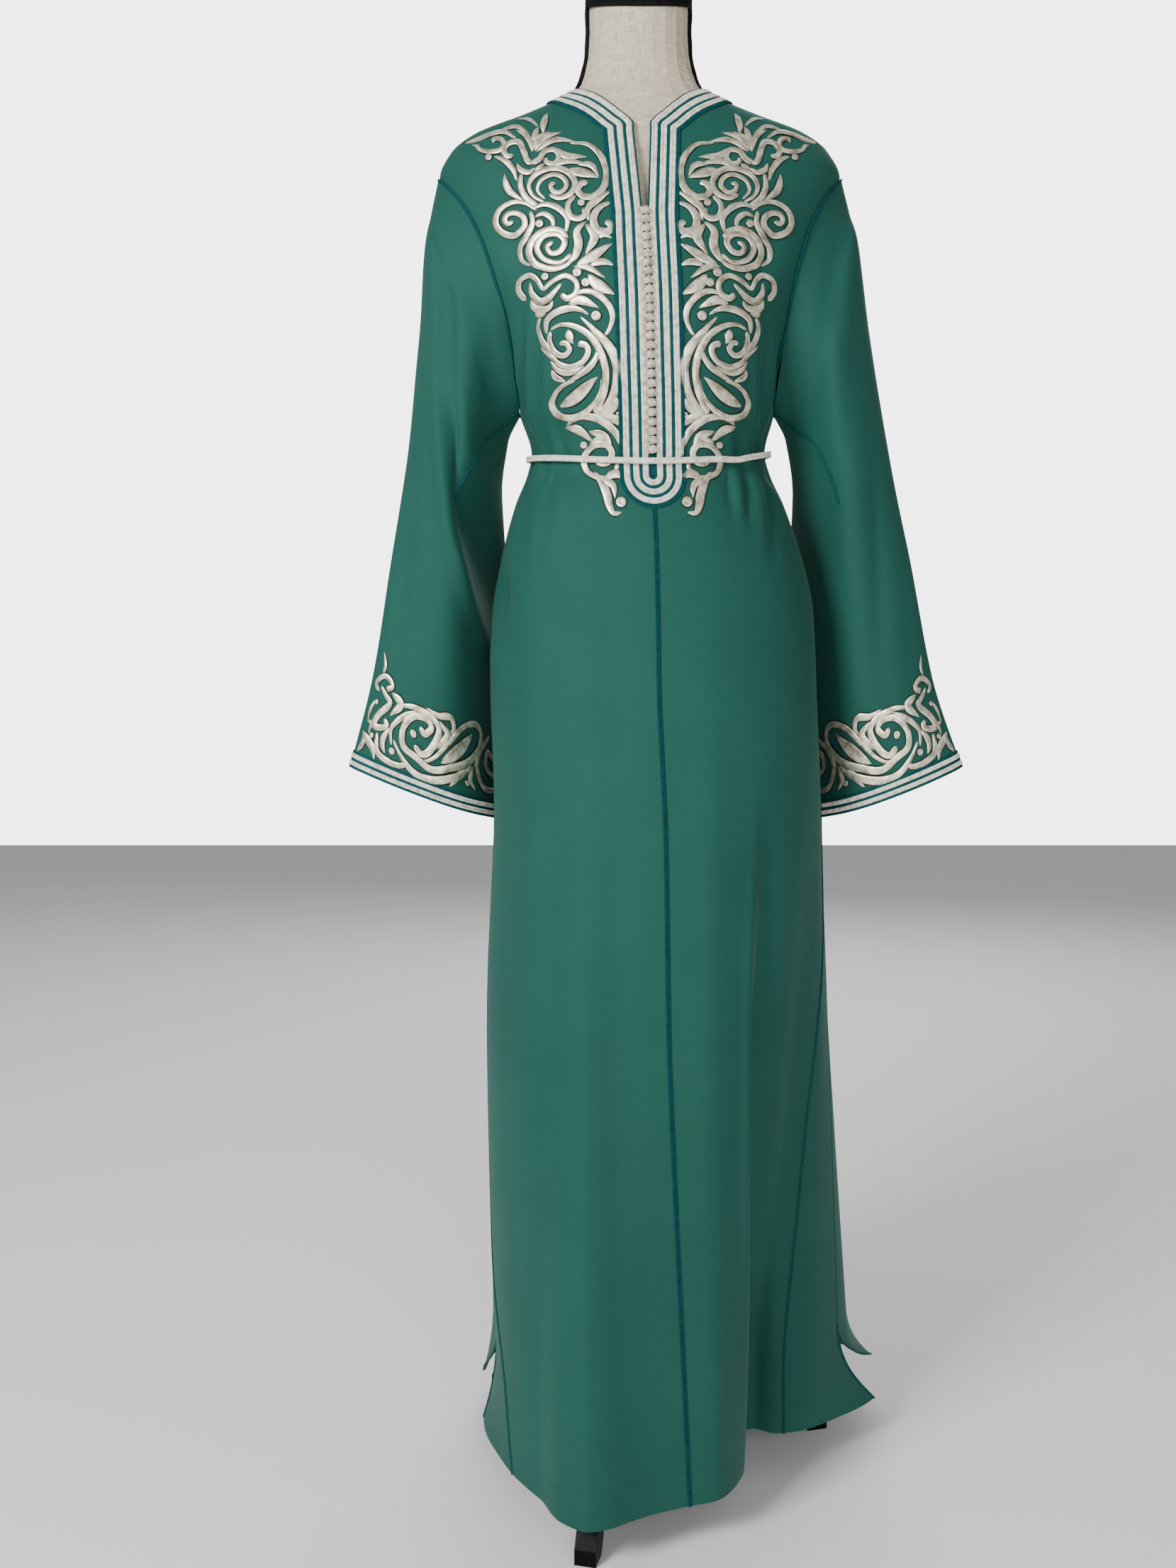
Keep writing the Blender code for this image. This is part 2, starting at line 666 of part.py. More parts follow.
def add_ribbon(name, path, normals, width, thick, material, ring):
    """A flat braid along a path, lying just off the cloth."""
    if ring:
        before, after = np.roll(path, 1, axis=0), np.roll(path, -1, axis=0)
    else:
        before, after = np.vstack((path[:1], path[:-1])), np.vstack((path[1:], path[-1:]))
    along = after - before
    along /= np.linalg.norm(along, axis=1, keepdims=True)
    across = np.cross(normals, along)
    across /= np.linalg.norm(across, axis=1, keepdims=True)
    one = path - before
    length = np.linalg.norm(one, axis=1, keepdims=True)
    one = np.where(length > 1e-9, one / np.maximum(length, 1e-9), along)
    mitre = 1 / np.clip(np.sum(one * along, axis=1, keepdims=True), 0.7, 1.0)
    side = across * mitre * width / 2
    low, high = TRIM_GAP * normals, (TRIM_GAP + thick) * normals
    ring_points = np.stack((path - side + low, path + side + low, path + side + high, path - side + high), axis=1)
    rows = len(path)
    faces = []
    for r in range(rows if ring else rows - 1):
        s = (r + 1) % rows
        for c in range(4):
            d = (c + 1) % 4
            faces.append((r * 4 + c, r * 4 + d, s * 4 + d, s * 4 + c))
    if not ring:
        faces += [(3, 2, 1, 0), tuple((rows - 1) * 4 + c for c in range(4))]
    return add_object(name, ring_points.reshape(-1, 3), faces, material)


def add_front_braids():
    """Three nested braids round the neck and down both sides of the slit."""
    for name, offset in BRAID_OFFSETS.items():
        half = braid_half(offset)
        other = [point * (-1, 1, 1) for point in half[1:-1]]
        local = np.array(half + other[::-1])
        normals = np.array([trunk_normal(point) for point in local])
        world = local + np.array([(SECTION.read("centre", z), 0, 0) for z in local[:, 2]])
        add_ribbon(name, world, normals, BRAID_WIDTH, BRAID_THICK, "braid", ring=True)


def add_seam_braid():
    """The narrow braid on the centre seam, from the placket's foot to the hem."""
    top = PLACKET_FOOT_Z - slit_half(PLACKET_FOOT_Z) - BRAID_OFFSETS["braid_outer"] - BRAID_WIDTH
    heights = [top] + [z for z in reversed(levels(HEM_Z, top - 0.004))]
    path = np.array([cloth_point(0, z) for z in heights])
    normals = np.array([cloth_normal(0, z) for z in heights])
    add_ribbon("seam_braid_front", path, normals, SEAM_BRAID_WIDTH, SEAM_BRAID_THICK, "cord", ring=False)


def turned_rings(rings, name, material):
    """A closed body through rings of points, with flat or pointed ends."""
    count = len(rings[0])
    points = np.array(rings).reshape(-1, 3)
    faces = [(r * count + c, r * count + (c + 1) % count, (r + 1) * count + (c + 1) % count, (r + 1) * count + c)
             for r in range(len(rings) - 1) for c in range(count)]
    faces.append(tuple(range(count)))
    faces.append(tuple((len(rings) - 1) * count + c for c in range(count)))
    return add_object(name, points, faces, material)


def belt_height(azimuth):
    """The belt hangs a little lower at the front."""
    return BELT_Z - BELT_DROP * math.cos(math.radians(azimuth))


def add_buttons():
    """Small knotted buttons down the placket; the belt lies where one would be."""
    wide, deep, high = BUTTON_RADII
    number = 0
    for k in range(BUTTON_COUNT):
        z = FIRST_BUTTON_Z - k * BUTTON_PITCH
        if abs(z - belt_height(0)) < BELT_HIGH + high + 0.0006:
            continue
        number += 1
        middle = cloth_point(0, z) + BUTTON_STANDOFF * trunk_normal(np.array([0.0, trunk_front(0, z), z]))
        rings = []
        for turn in (-64, -24, 24, 64):
            scale, lift = math.cos(math.radians(turn)), math.sin(math.radians(turn))
            rings.append([middle + np.array([wide * scale * math.cos(a), deep * scale * math.sin(a), high * lift])
                          for a in np.linspace(0, 2 * math.pi, 8, endpoint=False)])
        turned_rings(rings, f"button_{number:02d}", "braid")


def add_belt():
    """The cord belt and the small clasp that closes it at the back."""
    reach_angle = math.degrees((CLASP_LENGTH / 2 + SEAM_GAP) / SECTION.read("back", BELT_Z))
    rings = []
    for azimuth in np.linspace(-180 + reach_angle, 180 - reach_angle, 49):
        z = belt_height(azimuth)
        over = (TRIM_GAP + BRAID_THICK) * min(max((30 - abs(azimuth)) / 8, 0.0), 1.0)
        reach = trunk_reach(azimuth, z) + TRIM_GAP + BELT_DEEP + over
        angle = math.radians(azimuth)
        middle = np.array([SECTION.read("centre", z) + reach * math.sin(angle), -reach * math.cos(angle), z])
        out = np.array([math.sin(angle), -math.cos(angle), 0.0])
        rings.append([middle + out * BELT_DEEP * math.cos(a) + np.array([0, 0, BELT_HIGH * math.sin(a)])
                      for a in np.linspace(0, 2 * math.pi, 6, endpoint=False)])
    turned_rings(rings, "belt", "braid")
    z = belt_height(180)
    radius = 0.0042
    middle = cloth_point(180, z) + np.array([0, radius + SEAM_GAP + 0.0036, 0])
    rings = [[middle + np.array([x, radius * math.cos(a), radius * math.sin(a)])
              for a in np.linspace(0, 2 * math.pi, 12, endpoint=False)]
             for x in (-CLASP_LENGTH / 2, CLASP_LENGTH / 2)]
    turned_rings(rings, "belt_clasp", "brass")


def form_ring(z, count=24):
    """One ring of the dress form's body, just inside the cloth that it carries."""
    if z > NECK_Z:
        middle = SECTION.read("centre", min(z, 1.5))
        ring = []
        for azimuth in np.linspace(0, 360, count, endpoint=False):
            end = "front" if abs(turned(azimuth)) < 90 else "back"
            reach = oval_reach(azimuth, FORM_NECK_TABLE.read("half", z), FORM_NECK_TABLE.read(end, z))
            angle = math.radians(azimuth)
            ring.append((middle + reach * math.sin(angle), -reach * math.cos(angle), z))
        return ring
    clear = FORM_CLEARANCE.read("clear", z)
    ring = []
    for azimuth in np.linspace(0, 360, count, endpoint=False):
        if z < SHOULDER_TIP_Z:
            reach = trunk_reach(turned(azimuth), z) - clear
            angle = math.radians(azimuth)
            ring.append((SECTION.read("centre", z) + reach * math.sin(angle), -reach * math.cos(angle), z))
        else:
            ring.append(tuple(cloth_point(azimuth, z) - clear * cloth_normal(azimuth, z)))
    return ring


def add_form():
    """Dress form: torso with neck, cap and the gimp along its seams."""
    lower = [0.84, 0.86, 0.93, 1.0, 1.06, 1.10, 1.155, 1.21, 1.26, 1.31, 1.355, 1.385]
    upper = [1.40, 1.4223, 1.438, 1.447, 1.456, 1.464, 1.471, 1.477, 1.482, 1.486]
    neck = [1.493, 1.505, 1.525, 1.550, 1.576]
    turned_rings([form_ring(z) for z in lower + upper + neck], "form_torso", "linen")
    middle = SECTION.read("centre", 1.5)
    cap = []
    for z, grow in ((1.576 + SEAM_GAP, CAP_LIP), (CAP_TOP_Z - 0.004, CAP_LIP), (CAP_TOP_Z, -0.002)):
        ring = []
        for azimuth in np.linspace(0, 360, 24, endpoint=False):
            end = "front" if abs(turned(azimuth)) < 90 else "back"
            reach = oval_reach(azimuth, FORM_NECK[0][1], FORM_NECK[0][FORM_NECK_COLUMNS.index(end)]) + grow
            angle = math.radians(azimuth)
            ring.append((middle + reach * math.sin(angle), -reach * math.cos(angle), z))
        cap.append(ring)
    turned_rings(cap, "neck_cap", "gimp")
    for side, word in ((1, "left"), (-1, "right")):
        heights = [1.493, 1.505, 1.525, 1.550, 1.574]
        path = np.array([(middle + side * FORM_NECK_TABLE.read("half", z), 0, z) for z in heights])
        slope = np.gradient(path, axis=0)
        normals = np.stack((side * slope[:, 2], 0 * slope[:, 2], -side * slope[:, 0]), axis=1)
        normals /= np.linalg.norm(normals, axis=1, keepdims=True)
        add_ribbon(f"neck_gimp_{word}", path, normals, 0.0055, 0.0020, "gimp", ring=False)


def add_stand():
    """Pole, hub and three straight legs with flat soles."""
    middle, behind = POLE_PLACE

    def round_bar(name, radius, low, high, sides):
        rings = [[(middle + radius * math.cos(a), behind + radius * math.sin(a), z)
                  for a in np.linspace(0, 2 * math.pi, sides, endpoint=False)] for z in (low, high)]
        turned_rings(rings, name, "black_wood")

    round_bar("pole", POLE_RADIUS, HUB_Z[1] + SEAM_GAP, 0.84 - SEAM_GAP, 20)
    round_bar("hub", HUB_RADIUS, HUB_Z[0], HUB_Z[1], 24)
    for name, azimuth in LEG_AZIMUTHS.items():
        angle = math.radians(azimuth)
        out = np.array([math.sin(angle), -math.cos(angle), 0.0])
        across = np.array([math.cos(angle), math.sin(angle), 0.0]) * LEG_WIDTH / 2
        root = HUB_RADIUS + SEAM_GAP
        profile = ((root, HUB_Z[1] - 0.008), (FOOT_REACH[1], 0.016), (FOOT_REACH[1], 0.0),
                   (FOOT_REACH[0], 0.0), (root, HUB_Z[0] + 0.004))
        hub_middle = np.array([middle, behind, 0.0])
        rings = [[hub_middle + reach * out + np.array([0, 0, z]) + side * across for reach, z in profile]
                 for side in (-1, 1)]
        turned_rings(rings, name, "black_wood")


def main():
    """Build every piece."""
    clear_scene()
    add_panels()
    add_sleeves()
    add_front_braids()
    add_seam_braid()
    add_buttons()
    add_belt()
    add_form()
    add_stand()


main()
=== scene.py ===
"""Looks of a long kaftan with a braided placket, worn by a limbless dress form on a legged stand.

Metres, +Z up, the garment's front along -Y. Azimuths are degrees about the garment's centre line:
0 is the front, +90 is +X, 180 is the back. Embroidery is laid out in millimetres on the cloth.
"""

import logging
import math
from dataclasses import dataclass, field
from enum import Enum
from typing import Callable, Sequence

import bpy
import numpy as np
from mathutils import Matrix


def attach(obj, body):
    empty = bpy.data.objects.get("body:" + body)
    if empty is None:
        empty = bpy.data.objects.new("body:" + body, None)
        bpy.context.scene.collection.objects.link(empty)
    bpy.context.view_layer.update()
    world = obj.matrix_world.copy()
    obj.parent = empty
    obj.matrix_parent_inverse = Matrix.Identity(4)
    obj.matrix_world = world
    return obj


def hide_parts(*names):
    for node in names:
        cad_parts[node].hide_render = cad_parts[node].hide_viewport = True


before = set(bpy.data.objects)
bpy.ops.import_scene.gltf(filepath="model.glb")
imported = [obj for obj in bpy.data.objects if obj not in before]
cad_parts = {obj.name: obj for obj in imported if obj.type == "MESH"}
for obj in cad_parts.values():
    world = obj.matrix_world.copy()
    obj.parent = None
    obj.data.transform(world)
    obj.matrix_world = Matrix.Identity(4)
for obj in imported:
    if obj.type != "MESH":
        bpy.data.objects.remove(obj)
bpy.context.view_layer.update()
LOG = logging.getLogger("kaftan")

Row = tuple[float, ...]
Array = np.ndarray
Socket = bpy.types.NodeSocket
Finish = bpy.types.Material
Item = bpy.types.Object
# Turns millimetre pairs on the cloth into points and outward directions
Place = Callable[[Array], tuple[Array, Array]]
SIDES = ((1, "left"), (-1, "right"))

# Cut and drape of the garment, as in the part's source
WALL = 0.0015
SEAM_GAP = 0.0003
HEM_Z = 0.05
HEM_TURNING = 0.033
DRAPE_TOP_Z = 0.80
DRAPE_POWER = 1.2
SLIT_TOP_Z = 0.15
NECK_Z = 1.486
SLIT_CORNER_Z = 1.4223
FIRST_BUTTON_Z = 1.335
PLACKET_FOOT_Z = 1.079
SHOULDER_TIP_Z = 1.40
UNDERARM_Z = 1.155
GORE_TOP_Z = 0.86
TRUNK_POWER = 2.15
FOLD_TURN = 9.0
# A crease runs this share of its length to either side of its middle
CREASE_REACH = 0.75
# Angle of a plait to its braid, in degrees
PLAIT_SLANT = 38

SECTION_ROWS = (
    (1.500, -0.0210, 0.0600, 0.0500, 0.0560), (1.486, -0.0205, 0.0715, 0.0550, 0.0620),
    (1.470, -0.0205, 0.1020, 0.0620, 0.0700), (1.457, -0.0200, 0.1350, 0.0670, 0.0760),
    (1.440, -0.0200, 0.1800, 0.0755, 0.0830), (1.425, -0.0200, 0.1990, 0.0830, 0.0880),
    (1.400, -0.0195, 0.2110, 0.0930, 0.0940), (1.360, -0.0185, 0.2010, 0.1070, 0.1000),
    (1.310, -0.0170, 0.1850, 0.1200, 0.1040), (1.250, -0.0145, 0.1600, 0.1300, 0.1050),
    (1.190, -0.0125, 0.1420, 0.1270, 0.1000), (1.155, -0.0110, 0.1350, 0.1190, 0.0930),
    (1.115, -0.0095, 0.1245, 0.1050, 0.0840), (1.095, -0.0090, 0.1290, 0.1010, 0.0830),
    (1.060, -0.0080, 0.1440, 0.1120, 0.0950), (1.000, -0.0060, 0.1620, 0.1290, 0.1140),
    (0.950, -0.0050, 0.1720, 0.1380, 0.1280), (0.870, -0.0040, 0.1755, 0.1480, 0.1430),
    (0.720, 0.0025, 0.1770, 0.1600, 0.1570), (0.530, 0.0055, 0.1850, 0.1720, 0.1700),
    (0.370, 0.0120, 0.1890, 0.1810, 0.1840), (0.210, 0.0200, 0.1910, 0.1860, 0.2000),
    (0.050, 0.0280, 0.1930, 0.1880, 0.2200),
)
HEM_ROWS = (
    (-180, 0.2325), (-160, 0.2480), (-140, 0.2700), (-128, 0.2640), (-116, 0.2370), (-89, 0.2000),
    (-71.5, 0.2070), (-55, 0.2190), (-41, 0.2290), (-30.5, 0.2520), (-24.5, 0.2560), (-20, 0.2440),
    (-15.5, 0.2230), (-9, 0.2020), (0, 0.1870), (8.5, 0.1800), (17, 0.1610), (24, 0.1390),
    (33, 0.1130), (46, 0.0900), (57, 0.0860), (64, 0.0990), (70, 0.1200), (78, 0.1460),
    (87.5, 0.1690), (95, 0.1880), (102, 0.2050), (122, 0.2350), (150, 0.2450), (180, 0.2325),
)
# azimuth, width, reach
FLARES = ((-90, 22, 0.019), (-116, 13, 0.010), (100, 11, 0.020), (122, 17, 0.052))
# azimuth, width, depth, z, height
GATHERS = (
    (-78, 5.5, 0.0040, 1.105, 0.070), (-63, 5.0, 0.0045, 1.085, 0.060), (-50, 5.0, 0.0035, 1.100, 0.055),
    (-37, 4.5, 0.0025, 1.080, 0.045), (38, 4.5, 0.0025, 1.085, 0.045), (52, 5.0, 0.0035, 1.100, 0.055),
    (65, 5.0, 0.0045, 1.085, 0.065), (80, 5.5, 0.0040, 1.105, 0.070), (108, 6.0, 0.0040, 1.100, 0.070),
    (128, 6.0, 0.0040, 1.090, 0.060), (150, 6.5, 0.0045, 1.100, 0.075), (173, 6.0, 0.0035, 1.090, 0.060),
    (-162, 6.5, 0.0045, 1.100, 0.070), (-138, 6.0, 0.0040, 1.090, 0.060), (-112, 6.0, 0.0040, 1.100, 0.070),
)
NECKLINE_ROWS = (
    (1.486, 78), (1.478, 56), (1.4695, 40), (1.459, 28), (1.448, 18), (1.434, 7.2), (1.4223, 5.9),
)
# z, front seam, side slit's front edge, its back edge, back seam
SEAM_ROWS = {
    1: (
        (1.155, 90.0, 90.0, 90.0, 90.0), (0.870, 91.3, 91.3, 91.3, 91.3), (0.860, 90.9, 91.3, 91.3, 91.7),
        (0.620, 85.0, 92.3, 92.3, 106.0), (0.500, 78.0, 92.5, 92.5, 116.0), (0.400, 73.0, 92.5, 92.5, 125.0),
        (0.300, 71.0, 92.5, 92.5, 133.0), (0.150, 69.0, 92.5, 92.5, 144.0),
        (0.050, 70.0, 100.0, 122.0, 150.0),
    ),
    -1: (
        (1.155, 90.0, 90.0, 90.0, 90.0), (0.870, 93.4, 93.4, 93.4, 93.4), (0.860, 93.0, 93.4, 93.4, 93.8),
        (0.620, 92.0, 97.0, 97.0, 108.0), (0.450, 90.0, 97.0, 97.0, 119.0), (0.300, 85.0, 96.0, 96.0, 130.0),
        (0.220, 73.0, 94.0, 94.0, 135.0), (0.150, 62.0, 92.5, 92.5, 140.0), (0.050, 55.0, 89.0, 116.0, 146.0),
    ),
}
ARMHOLE_FRONT = 23.0
ARMHOLE_BACK = 15.0
ARMHOLE_POWER = 0.6
# outer z, inner z, outer x, then x and y of ridge, fold, inner, back and rear
SLEEVE_ROWS = (
    (1.353, 1.130, 0.224, 0.214, -0.040, 0.178, -0.060, 0.150, 0.016, 0.178, 0.068, 0.214, 0.042),
    (1.236, 1.070, 0.240, 0.226, -0.038, 0.190, -0.050, 0.160, 0.046, 0.190, 0.077, 0.228, 0.040),
    (1.119, 0.985, 0.257, 0.236, -0.034, 0.197, -0.036, 0.160, 0.085, 0.197, 0.097, 0.238, 0.045),
    (1.000, 0.885, 0.2794, 0.245, -0.032, 0.200, -0.018, 0.154, 0.125, 0.202, 0.114, 0.250, 0.050),
    (0.879, 0.785, 0.3025, 0.256, -0.030, 0.201, -0.004, 0.150, 0.142, 0.204, 0.122, 0.262, 0.055),
    (0.780, 0.706, 0.3326, 0.268, -0.026, 0.200, 0.006, 0.146, 0.148, 0.206, 0.126, 0.276, 0.058),
)
SLEEVE_STANDOFF = 0.0006
SHOULDER_STANDOFF = 0.0016
BRAID_OFFSETS = {"braid_inner": 0.0042, "braid_middle": 0.0136, "braid_outer": 0.0230}
BELT_Z = 1.1045
BELT_DROP = 0.0105
BELT_HALF = 0.0035
BELT_CLEAR = 0.0006
FORM_NECK_ROWS = (
    (1.576, 0.052), (1.55, 0.0515), (1.525, 0.053), (1.505, 0.0575), (1.493, 0.0625),
)


class Face(Enum):
    """The side of the garment that a crease shows on."""

    FRONT = -1.0
    REAR = 1.0


# Soft creases in the front view: x from the centre line and z at both ends, width, depth (troughs below 0)
CREASES = {
    Face.FRONT: (
        (-0.1277, 1.2377, -0.1316, 1.1437, 0.0045, -0.0075),
        (-0.1347, 1.2377, -0.1333, 1.1488, 0.005, 0.0035),
        (-0.1121, 1.2224, -0.1164, 1.1335, 0.004, -0.006),
        (-0.1195, 1.2337, -0.1246, 1.1376, 0.0042, 0.004),
        (-0.1034, 1.201, -0.1059, 1.1314, 0.0055, 0.0022),
        (-0.0967, 1.1335, -0.0878, 1.1018, 0.003, -0.0026),
        (-0.0775, 1.1233, -0.0774, 1.0998, 0.0026, -0.002),
        (-0.0982, 1.0936, -0.1139, 1.0466, 0.0036, -0.0042),
        (-0.0784, 1.0916, -0.0791, 1.0701, 0.0028, -0.003),
        (-0.0889, 1.0895, -0.1045, 1.0098, 0.006, 0.0024),
        (-0.1282, 1.0967, -0.1382, 1.02, 0.005, -0.0036),
        (-0.1165, 1.0916, -0.1238, 1.0037, 0.0055, 0.0026),
        (0.1218, 1.2183, 0.1196, 1.1355, 0.005, -0.007), (0.1309, 1.2204, 0.1321, 1.1458, 0.0045, 0.0035),
        (0.108, 1.202, 0.1071, 1.1314, 0.005, 0.003), (0.138, 1.2296, 0.1328, 1.1478, 0.004, -0.006),
        (0.0875, 1.1386, 0.0881, 1.1059, 0.003, -0.0024),
        (0.0782, 1.0957, 0.0771, 1.0486, 0.0034, -0.0038),
        (0.0965, 1.0977, 0.0969, 1.0333, 0.0042, -0.0046), (0.0879, 1.0967, 0.087, 1.0313, 0.005, 0.0024),
        (0.1239, 1.1018, 0.1232, 1.0037, 0.0055, -0.0044),
        (0.1091, 1.0967, 0.1092, 1.0098, 0.0055, 0.0026), (-0.1199, 1.018, -0.1533, 0.1359, 0.016, 0.0042),
        (-0.0374, 1.0149, -0.0666, 0.2248, 0.02, -0.003),
        (-0.0749, 0.9873, -0.1052, 0.2268, 0.014, 0.0016), (0.0866, 0.63, 0.0569, 0, 0.006, 0.0075),
        (0.105, 0.6316, 0.079, 0, 0.0135, -0.024), (0.0503, 0.9168, 0.0406, 0.3546, 0.018, 0.0026),
        (-0.1405, 1.3226, -0.1206, 1.2766, 0.01, -0.003), (0.1362, 1.3287, 0.1083, 1.2684, 0.01, -0.0028),
        (-0.1609, 1.2627, -0.1482, 1.1816, 0.012, -0.0095),
        (-0.2161, 1.3377, -0.2206, 1.167, 0.0085, 0.004), (-0.2215, 1.1794, -0.2125, 1.0315, 0.008, 0.006),
        (-0.2144, 1.039, -0.1921, 0.9491, 0.008, 0.0065), (-0.197, 0.9638, -0.177, 0.8976, 0.0075, 0.005),
        (-0.2013, 1.3348, -0.2072, 1.1659, 0.009, -0.005), (-0.2041, 1.16, -0.1989, 1.0407, 0.01, -0.011),
        (-0.188, 1.07, -0.162, 0.93, 0.015, -0.02), (-0.2513, 1.1281, -0.2748, 0.8729, 0.011, -0.003),
        (-0.2578, 1.113, -0.2973, 0.8751, 0.013, 0.0026), (0.2073, 1.3598, 0.1674, 1.168, 0.011, -0.0055),
        (0.2207, 1.3663, 0.1901, 1.1308, 0.011, 0.002), (0.1942, 1.349, 0.1595, 1.2284, 0.008, 0.0014),
        (0.2004, 1.138, 0.1954, 1.0239, 0.014, -0.0018), (0.2244, 1.1688, 0.2564, 0.8723, 0.018, 0.0014),
        (0.2392, 1.1105, 0.2393, 0.8879, 0.011, -0.003),
    ),
    Face.REAR: (
        (-0.104, 1.138, -0.096, 1.25, 0.007, -0.004), (-0.066, 1.13, -0.07, 1.21, 0.006, -0.0028),
        (0.027, 1.13, 0.031, 1.23, 0.007, -0.0026), (0.074, 1.135, 0.069, 1.225, 0.006, -0.0032),
        (0.108, 1.138, 0.101, 1.24, 0.007, -0.004), (-0.098, 1.075, -0.12, 0.89, 0.01, -0.0038),
        (-0.042, 1.08, -0.052, 0.84, 0.009, -0.0032), (0.018, 1.08, 0.026, 0.78, 0.011, -0.0036),
        (0.082, 1.075, 0.106, 0.87, 0.01, -0.0038), (-0.076, 0.92, -0.102, 0.25, 0.026, 0.006),
        (0.054, 0.92, 0.08, 0.22, 0.026, 0.006), (-0.008, 0.86, 0, 0.2, 0.022, -0.005),
        (-0.21, 1.29, -0.224, 1.06, 0.01, -0.0036), (-0.208, 1.05, -0.232, 0.86, 0.012, -0.0036),
        (0.208, 1.27, 0.22, 1.04, 0.01, -0.0036), (0.21, 1.03, 0.234, 0.84, 0.012, -0.0036),
    ),
}


class Stitch(Enum):
    """Shapes that the embroiderer fills with satin stitch."""

    VINE = "tapered scroll"
    LEAF = "pointed leaf"
    VEINED = "leaf with a sunk vein"
    DOT = "round dot"


VINE, LEAF, VEINED, DOT = Stitch
Motif = tuple[Stitch | float, ...]

